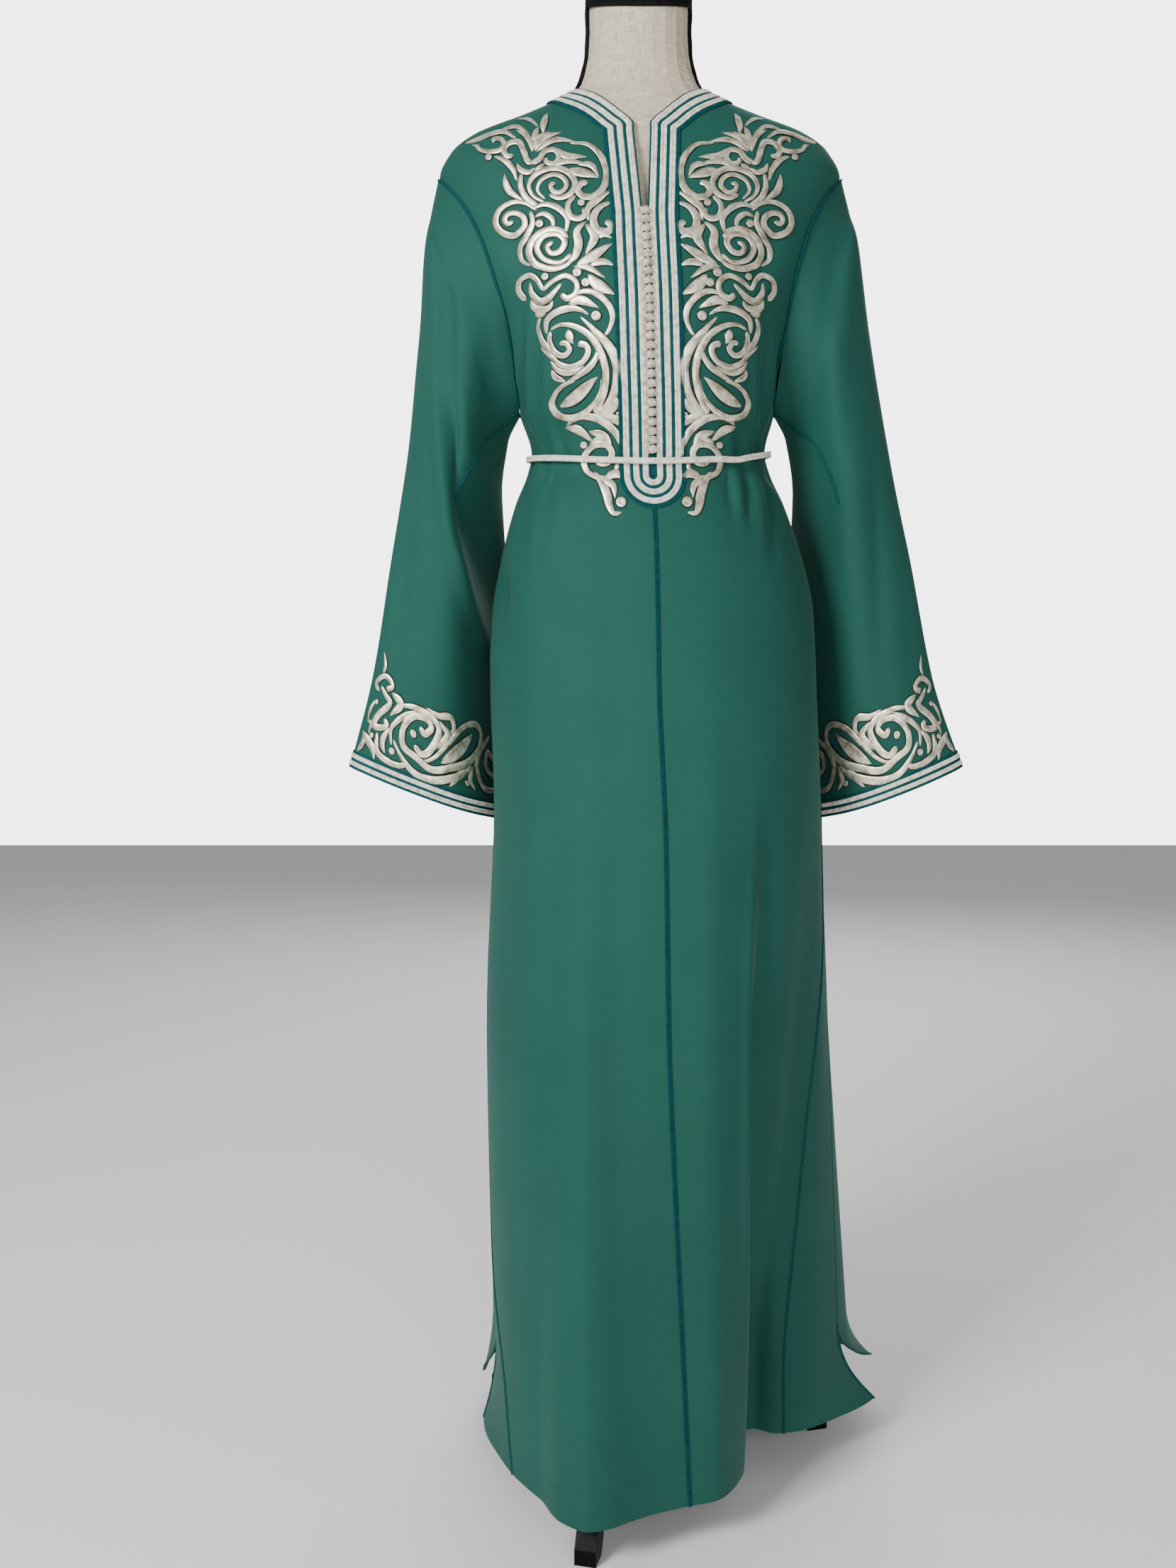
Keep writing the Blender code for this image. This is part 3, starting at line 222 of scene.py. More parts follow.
# One front, in mm: a vine's width at its start, middle and end, a leaf's greatest width or a dot's radius,
# then pairs of the distance from the centre line and the height above the floor
FRONT_MOTIFS: tuple[Motif, ...] = (
    (LEAF, 9, 99, 1424.5, 98.5, 1435, 95, 1449), (LEAF, 8, 110, 1414, 107, 1423, 103.5, 1432.5),
    (LEAF, 8, 110, 1404, 114, 1419, 127, 1431.5), (LEAF, 6, 112.5, 1423, 126.5, 1434.5, 146, 1433.5),
    (LEAF, 5, 104.5, 1433, 113.5, 1442, 127, 1447),
    (VINE, 4, 7, 6, 168, 1421.5, 164, 1413.5, 154.5, 1409, 143.5, 1409, 139, 1415, 142.5, 1421.5, 149,
     1423, 151, 1419.5),
    (VINE, 3, 7, 3, 166, 1424.5, 154, 1429.5, 139.5, 1430, 127, 1421.5),
    (DOT, 4.3, 155, 1403),
    (VINE, 2, 8, 2, 149.5, 1403.5, 138, 1396.5, 130, 1386.5, 126.5, 1374.5),
    (VINE, 6, 8, 8, 129.5, 1402, 135, 1401, 139, 1407.5, 134, 1415.5, 124, 1415.5, 119, 1405.5, 115.5,
     1394.5, 110.5, 1390.5),
    (VINE, 8, 7, 6, 110.5, 1390.5, 103, 1395, 97, 1403, 87.5, 1403.5, 83.5, 1396, 87.5, 1389, 95.5, 1390.5,
     97.5, 1396.5),
    (VINE, 2, 8, 2, 126, 1392.5, 122.5, 1385, 114.5, 1381.5, 107.5, 1386),
    (LEAF, 7, 109.5, 1406, 104, 1417.5, 93, 1425.5), (LEAF, 8, 108, 1405, 97, 1418.5, 81, 1423.5),
    (LEAF, 8, 106, 1404, 89, 1414.5, 67, 1412.5), (LEAF, 9, 90, 1407, 76, 1396.5, 56, 1395),
    (VINE, 3, 9, 8, 72, 1411, 54.5, 1408, 42.5, 1396, 36.5, 1378.5, 39.5, 1362, 49, 1352.5, 59.5, 1352,
     65.5, 1358.5, 62, 1365.5, 55.5, 1366.5),
    (LEAF, 6, 108, 1383, 102.5, 1386.5, 97.5, 1390.5), (LEAF, 8, 93.5, 1386, 76, 1390.5, 57, 1387.5),
    (LEAF, 12, 76.5, 1381, 61, 1377.5, 44.5, 1372), (LEAF, 8, 65, 1387.5, 51.5, 1385, 44.5, 1373.5),
    (VINE, 3, 8, 6, 99, 1349, 110, 1356.5, 114, 1368, 106.5, 1379, 91, 1384, 76, 1379.5, 68, 1367, 72.5,
     1356, 84, 1352, 94, 1356.5),
    (VINE, 3, 6, 6, 98.5, 1352.5, 105.5, 1362, 102, 1372, 90, 1377, 80, 1373, 76.5, 1364.5, 82.5, 1358, 90,
     1359.5, 92.5, 1366, 87.5, 1368.5),
    (VINE, 3, 8, 6, 121.5, 1382.5, 122.5, 1367.5, 117, 1355, 106, 1346),
    (LEAF, 9, 139, 1382.5, 134.5, 1365, 119.5, 1352),
    (VINE, 4, 8, 6, 107.5, 1342, 119.5, 1350.5, 133, 1352, 145, 1346, 149, 1335, 142.5, 1324, 130, 1319.5,
     120, 1326, 120, 1335, 127.5, 1341, 136, 1341, 139.5, 1336.5, 136.5, 1331.5, 131, 1333.5),
    (VINE, 3, 8, 4, 111.5, 1343.5, 98, 1346.5, 85, 1341, 76.5, 1329.5, 78.5, 1316),
    (VINE, 3, 7, 4, 109.5, 1335, 100.5, 1337, 92, 1331, 90.5, 1322),
    (DOT, 4.9, 104.5, 1327.5),
    (VINE, 5, 8, 3, 113, 1341.5, 111.5, 1328.5, 118, 1316, 125.5, 1306, 125, 1295, 116.5, 1287.5),
    (VINE, 7, 9, 3, 77, 1310.5, 83.5, 1318, 97, 1320.5, 110.5, 1313, 116, 1300.5, 109.5, 1287.5, 92.5,
     1281, 77, 1285, 70, 1299.5),
    (VINE, 4, 8, 6, 73.5, 1294.5, 85.5, 1287, 100, 1291, 107.5, 1303.5, 101.5, 1314, 87.5, 1315.5, 80,
     1307.5, 84.5, 1298, 93.5, 1296.5, 97.5, 1303.5, 91.5, 1308.5),
    (VINE, 3, 11, 3, 59, 1326.5, 67.5, 1316.5, 66.5, 1304, 70.5, 1291.5, 79.5, 1284),
    (LEAF, 11, 59, 1324, 50.5, 1310.5, 60, 1293),
    (VINE, 4, 8, 7, 68, 1354, 75.5, 1344.5, 73.5, 1332.5, 64.5, 1329.5, 58.5, 1334.5, 61.5, 1340),
    (DOT, 4.4, 62.5, 1346),
    (VINE, 2, 9, 3, 56.5, 1327.5, 55.5, 1340, 44.5, 1349.5, 33, 1357.5),
    (VINE, 4, 10, 8, 33.5, 1345.5, 45, 1339.5, 51, 1328.5, 47.5, 1317, 37, 1315, 33.5, 1322, 40, 1325),
    (LEAF, 12, 70, 1281.5, 54, 1290, 33.5, 1303), (LEAF, 9, 56.5, 1281.5, 44.5, 1284.5, 32, 1281),
    (LEAF, 7, 47.5, 1309, 40.5, 1312, 33.5, 1308.5), (DOT, 5.4, 69, 1275.5),
    (LEAF, 8, 72, 1281.5, 57.5, 1279, 42, 1268.5), (DOT, 5.2, 61, 1265),
    (LEAF, 14, 58, 1273, 50, 1262.5, 33, 1252), (DOT, 4.5, 101, 1274.5),
    (VINE, 7, 7, 5, 121.5, 1255, 128, 1265, 126.5, 1274.5, 117, 1278, 109.5, 1273, 103.5, 1261.5),
    (VINE, 5, 7, 8, 103.5, 1261.5, 93, 1269, 80.5, 1273, 70.5, 1266, 71, 1255.5, 79.5, 1251, 86, 1256),
    (VINE, 3, 9, 3, 117, 1271, 114.5, 1260, 107, 1251.5, 98, 1253.5, 90.5, 1260, 85.5, 1266),
    (VINE, 3, 9, 3, 116, 1255, 113, 1247, 106, 1243.5, 98, 1244.5, 94.5, 1250.5),
    (VINE, 3, 6, 2, 112.5, 1244.5, 108.5, 1238, 100, 1242),
    (VINE, 3, 8, 3, 77, 1249.5, 69, 1255.5, 57.5, 1256, 46.5, 1250, 38.5, 1240.5, 36, 1230, 39.5, 1219, 45,
     1212.5),
    (LEAF, 11, 79.5, 1244.5, 67, 1248.5, 49.5, 1240), (DOT, 5.8, 52, 1232.5),
    (VINE, 4, 9, 2, 102, 1220.5, 100.5, 1232.5, 90.5, 1239.5, 77, 1241.5, 67, 1239, 59.5, 1234),
    (VINE, 4, 7, 4, 108, 1237, 110.5, 1227, 107, 1215.5, 99.5, 1205, 91, 1196),
    (VINE, 3, 9, 8, 98, 1223.5, 87, 1227, 72, 1223.5, 58, 1213.5, 49, 1198.5, 44.5, 1181, 46, 1163, 51.5,
     1149.5, 56.5, 1140),
    (VINE, 2, 12, 6, 67.5, 1232.5, 55, 1220, 41.5, 1204.5, 33.5, 1188, 33.5, 1170, 39.5, 1154, 51.5, 1139),
    (VINE, 5, 7, 6, 98, 1222, 98.5, 1211.5, 93, 1201, 84.5, 1197.5, 79, 1202.5, 83, 1209, 89.5, 1209),
    (LEAF, 10, 80, 1221.5, 78.5, 1214, 76, 1207.5),
    (VINE, 8, 7, 2, 71, 1207.5, 63, 1205, 61, 1198, 67, 1189.5, 79, 1186, 90.5, 1190.5, 100, 1200.5, 110,
     1210),
    (VINE, 2, 7, 2, 98.5, 1193.5, 92.5, 1185, 81.5, 1180.5, 71.5, 1182.5, 65.5, 1186),
    (VINE, 2, 7, 2, 98, 1185.5, 94, 1178, 84.5, 1172.5),
    (VINE, 3, 8, 2, 84.5, 1171.5, 71.5, 1177, 59, 1185, 52, 1195.5, 53.5, 1206),
    (VINE, 4, 8, 3, 74, 1174, 90, 1167.5, 98.5, 1156.5, 95.5, 1145, 85, 1139, 71.5, 1140, 58, 1148.5, 50,
     1160.5, 48, 1173.5),
    (VEINED, 15, 91.5, 1150, 75, 1157.5, 53, 1174.5), (LEAF, 11, 57, 1139, 45, 1144, 36.5, 1156),
    (LEAF, 11, 53, 1139, 38.5, 1145.5, 30.5, 1156.5), (DOT, 3.8, 33, 1138.5),
    (LEAF, 10, 52.5, 1138.5, 39.5, 1135.5, 28.5, 1127.5),
    (VINE, 3, 9, 7, 86, 1132.5, 70.5, 1138.5, 54.5, 1136, 39, 1125, 30.5, 1111, 29, 1097.5),
    (LEAF, 10, 87.5, 1130.5, 73, 1126.5, 59.5, 1114.5), (LEAF, 10, 63, 1124.5, 48, 1119, 40.5, 1102.5),
    (DOT, 4.2, 68.5, 1112),
    (VINE, 5, 8, 8, 35, 1094, 39.5, 1080.5, 52.5, 1077.5, 65.5, 1085, 68.5, 1099, 60, 1110, 46.5, 1111,
     40.5, 1102.5, 45, 1093.5, 53.5, 1093, 55.5, 1099),
    (VINE, 2, 6, 2, 65, 1107.5, 56.5, 1116, 44.5, 1115.5),
    (LEAF, 12, 48, 1077.5, 37, 1082, 27, 1075.5),
    (VINE, 5, 11, 3, 59.5, 1084.5, 51.5, 1072.5, 47, 1060, 45, 1049.5, 41, 1041, 33, 1042),
    (LEAF, 9, 54.5, 1079, 41, 1070, 39, 1057), (DOT, 6.4, 33, 1052.5),
)
# Half a cuff, in the same way: mm round from the sleeve's outer fold and mm up from its edge
CUFF_MOTIFS: tuple[Motif, ...] = (
    (LEAF, 6, 25, 108, 27, 119.5, 21, 132),
    (VINE, 5, 8, 8, 23, 90.5, 17, 97, 27, 108, 38.5, 107, 43.5, 101, 34, 95.5),
    (VINE, 5, 10, 7, 25, 96.5, 36, 89.5, 43.5, 83, 29.5, 66.5, 25, 54.5, 34, 54, 43.5, 59.5, 38.5, 65.5),
    (LEAF, 12, 43.5, 95, 60, 88, 45.5, 71),
    (VINE, 5, 10, 9, 62, 87.5, 82.5, 92, 105, 90, 115, 78.5, 105, 56.5, 93.5, 46, 82.5, 52),
    (VINE, 9, 10, 4, 89.5, 74.5, 95.5, 68.5, 105, 79, 95.5, 85.5, 78.5, 81, 66.5, 64.5, 68.5, 47, 84, 40.5,
     105, 34, 131.5, 44.5, 160, 59.5, 182.5, 79.5, 186.5, 95, 172, 101.5, 149.5, 92.5, 129.5, 72, 111,
     50.5, 97.5, 40, 86, 40.5),
    (VINE, 3, 11, 4, 55, 47.5, 66.5, 35, 84, 23, 105, 22.5, 131.5, 33.5, 162.5, 54),
    (VEINED, 16, 117, 45, 136, 60.5, 168.5, 91),
    (VINE, 5, 9, 6, 31.5, 48, 36, 30, 48, 24, 64.5, 23.5, 75, 29),
    (LEAF, 9, 45.5, 30, 41, 42, 48, 59.5),
    (VINE, 3, 8, 3, 53, 41.5, 50.5, 59, 64.5, 76, 80.5, 86.5, 88, 86),
    (DOT, 4.6, 55, 35.5), (DOT, 3.8, 25, 42.5), (DOT, 3.6, 23, 78.5), (DOT, 5.2, 80.5, 63.5),
    (VINE, 3, 10, 3, 97.5, 96.5, 115, 95, 131.5, 99, 136, 88, 129.5, 77.5),
    (LEAF, 12, 115, 89.5, 127, 77.5, 109, 56.5), (LEAF, 11, 10, 43, 29.5, 30, 34, 18),
    (LEAF, 6, 19, 79, 15, 67, 13.5, 55), (LEAF, 6, 13.5, 55, 21, 54.5, 19, 42.5),
    (LEAF, 8, 12, 37, 15, 30.5, 8.5, 18.5), (LEAF, 10, 127, 22.5, 140.5, 38.5, 165.5, 53.5),
    (LEAF, 9, 165.5, 27, 157.5, 38, 165.5, 53.5), (DOT, 4.2, 152, 32.5),
    (VINE, 6, 10, 3, 213, 31, 182.5, 32, 172, 53.5, 182.5, 74, 208.5, 93),
    (VINE, 7, 9, 6, 217.5, 61.5, 199.5, 73, 191, 58, 204, 47, 217.5, 46.5),
    (VINE, 5, 9, 7, 216, 22, 236, 24, 249, 38, 246, 58, 233, 64, 226, 54, 234, 46),
    (LEAF, 10, 222, 76, 240, 86, 262, 80),
    (VINE, 4, 9, 3, 252, 24, 272, 34, 281, 56, 272, 78, 256, 93),
    (LEAF, 9, 262, 22, 284, 26, 302, 42), (DOT, 4.2, 263, 52), (LEAF, 8, 293, 54, 289, 70, 300, 88),
    (DOT, 3.8, 308, 28),
)


def linear(code: str) -> tuple[float, float, float, float]:
    """Turn an sRGB hex value into linear colour.

    Args:
        code: six hex digits, with or without a leading hash.

    Returns:
        Linear red, green, blue and an alpha of 1.
    """
    code = code.lstrip("#")
    parts = [int(code[k:k + 2], 16) / 255 for k in (0, 2, 4)]
    red, green, blue = [c / 12.92 if c <= 0.04045 else ((c + 0.055) / 1.055) ** 2.4 for c in parts]
    return red, green, blue, 1.0


def add_node(tree: bpy.types.NodeTree, kind: str, settings: dict | None = None,
             values: dict | None = None, links: dict | None = None) -> bpy.types.Node:
    """Add a node with its settings, socket values and incoming links.

    Args:
        tree: the node tree.
        kind: Blender's type name of the node.
        settings: properties of the node itself.
        values: default values by input socket.
        links: output sockets by input socket.

    Returns:
        The new node.
    """
    node = tree.nodes.new(kind)
    for key, value in (settings or {}).items():
        setattr(node, key, value)
    for key, value in (values or {}).items():
        node.inputs[key].default_value = value
    for key, source in (links or {}).items():
        tree.links.new(source, node.inputs[key])
    return node


class Surface:
    """A Principled finish in the making, with the few nodes that the finishes share."""

    def __init__(self, name: str, colour: str, roughness: float) -> None:
        """Start the finish.

        Args:
            name: the material's name.
            colour: sRGB hex of the plain colour.
            roughness: the plain roughness.
        """
        self.material = bpy.data.materials.new(name)
        self.material.use_nodes = True
        self.material.diffuse_color = linear(colour)
        self.tree = self.material.node_tree
        self.shader = self.tree.nodes["Principled BSDF"]
        self.put("Base Color", linear(colour))
        self.put("Roughness", roughness)

    def put(self, label: str, value: Socket | float | Row) -> None:
        """Set an input of the shader to a value, or link it to a socket."""
        if isinstance(value, Socket):
            self.tree.links.new(value, self.shader.inputs[label])
        else:
            self.shader.inputs[label].default_value = value

    def place(self) -> Socket:
        """Object coordinates."""
        return add_node(self.tree, "ShaderNodeTexCoord").outputs["Object"]

    def stretch(self, place: Socket, scale: Row) -> Socket:
        """Scale coordinates."""
        return add_node(self.tree, "ShaderNodeMapping", None, {"Scale": scale}, {0: place}).outputs[0]

    def noise(self, place: Socket, scale: float, detail: float = 2.0, rough: float = 0.5) -> Socket:
        """Cloudy noise between 0 and 1."""
        return add_node(self.tree, "ShaderNodeTexNoise", None,
                        {"Scale": scale, "Detail": detail, "Roughness": rough}, {"Vector": place}).outputs[0]

    def ramp(self, value: Socket, start: Row, end: Row, smooth: bool = False) -> Socket:
        """Map a range of values onto another."""
        kind = "SMOOTHSTEP" if smooth else "LINEAR"
        limits = dict(zip((1, 2, 3, 4), (*start, *end)))
        return add_node(self.tree, "ShaderNodeMapRange", {"interpolation_type": kind}, limits,
                        {0: value}).outputs[0]

    def maths(self, operation: str, *given: Socket | float) -> Socket:
        """Do arithmetic on up to three sockets or numbers."""
        terms = dict(enumerate(given))
        return add_node(self.tree, "ShaderNodeMath", {"operation": operation},
                        {k: v for k, v in terms.items() if not isinstance(v, Socket)},
                        {k: v for k, v in terms.items() if isinstance(v, Socket)}).outputs[0]

    def part(self, vector: Socket, axis: int) -> Socket:
        """One part of a vector."""
        return add_node(self.tree, "ShaderNodeSeparateXYZ", None, None, {0: vector}).outputs[axis]

    def blend(self, factor: Socket, low: str | Socket, high: str) -> Socket:
        """Blend two colours, given as sRGB hex or a socket."""
        mix = add_node(self.tree, "ShaderNodeMix", {"data_type": "RGBA"}, None, {"Factor": factor})
        mix.inputs[7].default_value = linear(high)
        if isinstance(low, Socket):
            self.tree.links.new(low, mix.inputs[6])
        else:
            mix.inputs[6].default_value = linear(low)
        return mix.outputs[2]

    def bump(self, height: Socket, strength: float, distance: float) -> None:
        """Raise the surface by a height."""
        raised = add_node(self.tree, "ShaderNodeBump", None, {"Strength": strength, "Distance": distance},
                          {"Height": height})
        self.put("Normal", raised.outputs[0])


@dataclass(frozen=True)
class WovenCrepe:
    """Polyester crepe of twisted yarn: matt, with a pebbled grain and a soft bloom at grazing angles."""

    name: str = "woven_crepe"
    shade: str = "#0f443b"
    light: str = "#185046"
    bloom: str = "#8fc4b8"
    thread: float = 0.00055
    hem_line: bool = True

    def material(self) -> Finish:
        """Build the cloth's material."""
        finish = Surface(self.name, self.shade, 0.72)
        place = finish.place()
        # Crepe yarn is about 0.25 mm; the grain is drawn twice as coarse so that it shows
        height = finish.noise(place, 0.45 / self.thread)
        fleck = finish.ramp(height, (0.3, 0.7), (0.94, 1.05))
        cloud = finish.blend(finish.noise(place, 9.0, 3.0), self.shade, self.light)
        finish.put("Base Color", add_node(finish.tree, "ShaderNodeVectorMath", {"operation": "SCALE"}, None,
                                          {0: cloud, "Scale": fleck}).outputs[0])
        if self.hem_line:
            above = finish.maths("SUBTRACT", finish.part(place, 2), HEM_Z + HEM_TURNING)
            near = finish.maths("ABSOLUTE", above)
            height = finish.maths("ADD", height, finish.ramp(near, (0.0, 0.0022), (-3.0, 0.0), smooth=True))
        finish.bump(height, 0.35, 0.0004)
        finish.put("Sheen Weight", 0.14)
        finish.put("Sheen Roughness", 0.45)
        finish.put("Sheen Tint", linear(self.bloom))
        finish.put("Specular IOR Level", 0.2)
        return finish.material


@dataclass(frozen=True)
class SatinStitch:
    """Silver and ivory embroidery thread laid side by side: glossy streaks run across each stroke, painted
    into the colour as highlight and shade, with painted shade along each stroke's edges.
    """

    name: str = "satin_stitch_thread"
    # The thread's colour in painted shade and in painted highlight
    shade: str = "#a39b80"
    light: str = "#fff8e2"
    # Painted shade at each stroke's edge, where neighbouring strokes shade one another
    rim: str = "#17231d"
    thread: float = 0.0009
    # Length over which the painted highlight slides across a stroke
    sweep: float = 0.011

    def material(self) -> Finish:
        """Build the thread's material; u runs along the stroke in metres and v across it."""
        finish = Surface(self.name, self.light, 0.34)
        uv = add_node(finish.tree, "ShaderNodeUVMap", {"uv_map": "stroke"}).outputs[0]
        # Thread is about 0.3 mm; it is drawn at 0.9 mm so that the streaks show, painted into the colour as
        # highlight and shade
        streak = finish.noise(finish.stretch(uv, (1 / self.thread, 1.3, 1.0)), 1.0, 3.0, 0.6)
        # A painted highlight slides from one side of a stroke to the other every 10 mm or so
        sheen_sweep = finish.noise(finish.stretch(uv, (1 / self.sweep, 1.6, 1.0)), 1.0, 1.0)
        # Share of painted highlight, from the streaks and the sliding sheen
        share = finish.ramp(finish.maths("MULTIPLY_ADD", streak, 0.55, sheen_sweep), (0.58, 0.92), (0.0, 1.0))
        # Painted shade darkens each stroke towards its edges
        away = finish.maths("ABSOLUTE", finish.part(uv, 1))
        rim = finish.ramp(away, (0.32, 0.43), (0.0, 1.0), smooth=True)
        finish.put("Base Color", finish.blend(rim, finish.blend(share, self.shade, self.light), self.rim))
        finish.bump(streak, 0.55, 0.0004)
        finish.put("Metallic", 0.72)
        return finish.material


@dataclass(frozen=True)
class BraidThread:
    """Twisted viscose braid: each plait is a small satin pillow with fine fibres along it."""

    name: str
    shade: str
    light: str
    roughness: float = 0.5
    metallic: float = 0.0
    sheen: float = 0.15
    gloss: float = 0.5

    def material(self) -> Finish:
        """Build the braid's material."""
        finish = Surface(self.name, self.light, self.roughness)
        place = finish.place()
        # Fibres are a few hundredths of a millimetre; they are drawn at 0.4 mm so that they show
        fibre = finish.noise(place, 2500.0)
        both = finish.maths("MULTIPLY", fibre, finish.noise(place, 190.0))
        share = finish.ramp(both, (0.14, 0.34), (0.0, 1.0))
        finish.put("Base Color", finish.blend(share, self.shade, self.light))
        finish.bump(fibre, 0.4, 0.0003)
        finish.put("Metallic", self.metallic)
        finish.put("Sheen Weight", self.sheen)
        finish.put("Specular IOR Level", self.gloss)
        return finish.material


@dataclass(frozen=True)
class PlainLinen:
    """Undyed linen stretched over padding: flat and matt, with uneven warp and weft threads."""

    name: str = "plain_linen"
    shade: str = "#b0a48e"
    light: str = "#cfc4af"
    thread: float = 0.0009

    def material(self) -> Finish:
        """Build the linen's material."""
        finish = Surface(self.name, self.light, 0.88)
        place = finish.place()
        # Threads are 0.5 mm; they are drawn at 0.9 mm so that they show
        warp, weft = (finish.noise(finish.stretch(place, squeeze), 0.6 / self.thread)
                      for squeeze in ((0.12, 0.12, 1.0), (1.0, 1.0, 0.12)))
        weave = finish.maths("ADD", warp, weft)
        share = finish.ramp(weave, (0.8, 1.2), (0.0, 1.0))
        finish.put("Base Color", finish.blend(share, self.shade, self.light))
        finish.bump(weave, 0.5, 0.0004)
        return finish.material


@dataclass(frozen=True)
class SatinLacquer:
    """Beech under satin black lacquer: dark with a soft gloss, and faint grain along the bar."""

    name: str = "satin_black_lacquer"
    shade: str = "#040404"
    light: str = "#0c0b0a"

    def material(self) -> Finish:
        """Build the lacquer's material."""
        finish = Surface(self.name, "#050505", 0.38)
        grain = finish.noise(finish.stretch(finish.place(), (1.0, 1.0, 0.08)), 420.0, 3.0)
        finish.put("Base Color", finish.blend(grain, self.shade, self.light))
        finish.put("Specular IOR Level", 0.08)
        finish.put("Roughness", finish.ramp(grain, (0.3, 0.7), (0.3, 0.45)))
        finish.bump(grain, 0.15, 0.0002)
        return finish.material


@dataclass(frozen=True)
class PlatedBrass:
    """Silver-plated brass, stamped and tumbled: bright with fine scuffs."""

    name: str = "silver_plated_brass"

    def material(self) -> Finish:
        """Build the metal's material."""
        finish = Surface(self.name, "#c9c5bb", 0.28)
        scuff = finish.noise(finish.place(), 700.0, 3.0)
        finish.put("Roughness", finish.ramp(scuff, (0.3, 0.7), (0.2, 0.42)))
        finish.put("Metallic", 1.0)
        return finish.material


@dataclass(frozen=True)
class StudioPaper:
    """Matt white background paper."""

    name: str = "studio_paper"

    def material(self) -> Finish:
        """Build the floor's material."""
        return Surface(self.name, "#f4f4f2", 0.9).material


class Table:
    """A short table read between its rows through a cubic that never overshoots them."""

    def __init__(self, rows: Sequence[Row]) -> None:
        """Sort the rows by their first value and work out the slopes of the other columns."""
        self.keys = np.array(sorted(row[0] for row in rows), float)
        columns = np.array([row[1:] for row in sorted(rows)], float).T
        self.columns = columns
        self.slopes = [self.slope(column) for column in columns]

    def slope(self, column: Array) -> Array:
        """Slope of one column at each row."""
        rise = np.diff(column) / np.diff(self.keys)
        slope = np.concatenate(([rise[0]], np.zeros(len(column) - 2), [rise[-1]]))
        product = rise[:-1] * rise[1:]
        total = np.where(product > 0, rise[:-1] + rise[1:], 1.0)
        slope[1:-1] = np.where(product > 0, 2 * product / total, 0.0)
        return slope

    def read(self, index: int, at: Array | float) -> Array:
        """Read one column.

        Args:
            index: the column's number after the first.
            at: where to read it.

        Returns:
            The values there.
        """
        at = np.asarray(at, float)
        keys, values, slope = self.keys, self.columns[index], self.slopes[index]
        i = np.clip(np.searchsorted(keys, at) - 1, 0, len(keys) - 2)
        step = keys[i + 1] - keys[i]
        t = np.clip((at - keys[i]) / step, 0.0, 1.0)
        start = (1 + 2 * t) * (1 - t) ** 2 * values[i] + t * (1 - t) ** 2 * step * slope[i]
        end = t * t * (3 - 2 * t) * values[i + 1] + t * t * (t - 1) * step * slope[i + 1]
        return start + end


SECTION = Table(SECTION_ROWS)
HEM = Table(HEM_ROWS)
NECK = Table(NECKLINE_ROWS)
FORM_NECK = Table(FORM_NECK_ROWS)
SEAM = {side: Table(rows) for side, rows in SEAM_ROWS.items()}
CENTRE, HALF, FRONT, BACK = range(4)
FRONT_SEAM, SLIT_FRONT, SLIT_BACK, BACK_SEAM = range(4)


def turned(angle: Array) -> Array:
    """Bring azimuths between -180 and 180."""
    return (np.asarray(angle, float) + 180) % 360 - 180


def oval_reach(azimuth: Array, half: Array, depth: Array) -> Array:
    """Reach of a slightly squared oval in one direction."""
    side = np.abs(np.sin(np.radians(azimuth))) / half
    along = np.abs(np.cos(np.radians(azimuth))) / depth
    return (side ** TRUNK_POWER + along ** TRUNK_POWER) ** (-1 / TRUNK_POWER)


def trunk_reach(azimuth: Array, z: Array) -> Array:
    """Reach of the trunk's oval, before any fold."""
    depth = np.where(np.abs(turned(azimuth)) < 90, SECTION.read(FRONT, z), SECTION.read(BACK, z))
    return oval_reach(azimuth, SECTION.read(HALF, z), depth)


def bell(distance: Array, width: Array | float) -> Array:
    """A soft bell, 1 at its middle."""
    return np.exp(-((distance / width) ** 2))


def cloth_reach(azimuth: Array, z: Array) -> Array:
    """Reach of the cloth's outer side: trunk, skirt folds, slit flares and gathers."""
    azimuth = turned(azimuth)
    share = np.clip((DRAPE_TOP_Z - z) / (DRAPE_TOP_Z - HEM_Z), 0.0, 1.0) ** DRAPE_POWER
    lean = np.where((azimuth > 0) & (azimuth < 90),
                    FOLD_TURN * (1 - share) * np.sin(np.radians(2 * azimuth)), 0.0)
    reach = (1 - share) * trunk_reach(azimuth, z) + share * HEM.read(0, azimuth - lean)
    low = np.clip((SLIT_TOP_Z - z) / (SLIT_TOP_Z - HEM_Z), 0.0, 1.0) ** 2
    for middle, width, out in FLARES:
        reach = reach + out * low * bell(turned(azimuth - middle), width)
    for middle, width, depth, level, height in GATHERS:
        reach = reach - depth * bell(turned(azimuth - middle), width) * bell(z - level, height)
    return reach


def crease_height(x: Array, z: Array, facing: Array) -> Array:
    """How far creases lift the cloth.

    Args:
        x: distance from the centre line, to the wearer's left.
        z: height.
        facing: -1 on the front and 1 on the rear.

    Returns:
        The lift along the cloth's normal, in metres.
    """
    lift = np.zeros_like(x)
    rows = [(face, *row) for face, rows in CREASES.items() for row in rows]
    for face, x0, z0, x1, z1, width, depth in rows:
        length = math.hypot(x1 - x0, z1 - z0)
        along = ((x - x0) * (x1 - x0) + (z - z0) * (z1 - z0)) / length
        off = np.abs((x - x0) * (z1 - z0) - (z - z0) * (x1 - x0)) / length
        middle = np.clip(along / length - 0.5, -CREASE_REACH, CREASE_REACH)
        fade = np.cos(middle * math.pi / (2 * CREASE_REACH)) ** 1.5
        within = np.abs(along - length / 2) <= CREASE_REACH * length
        lift += np.where(facing * face.value > 0, depth * bell(off, width) * fade * within, 0.0)
    return lift


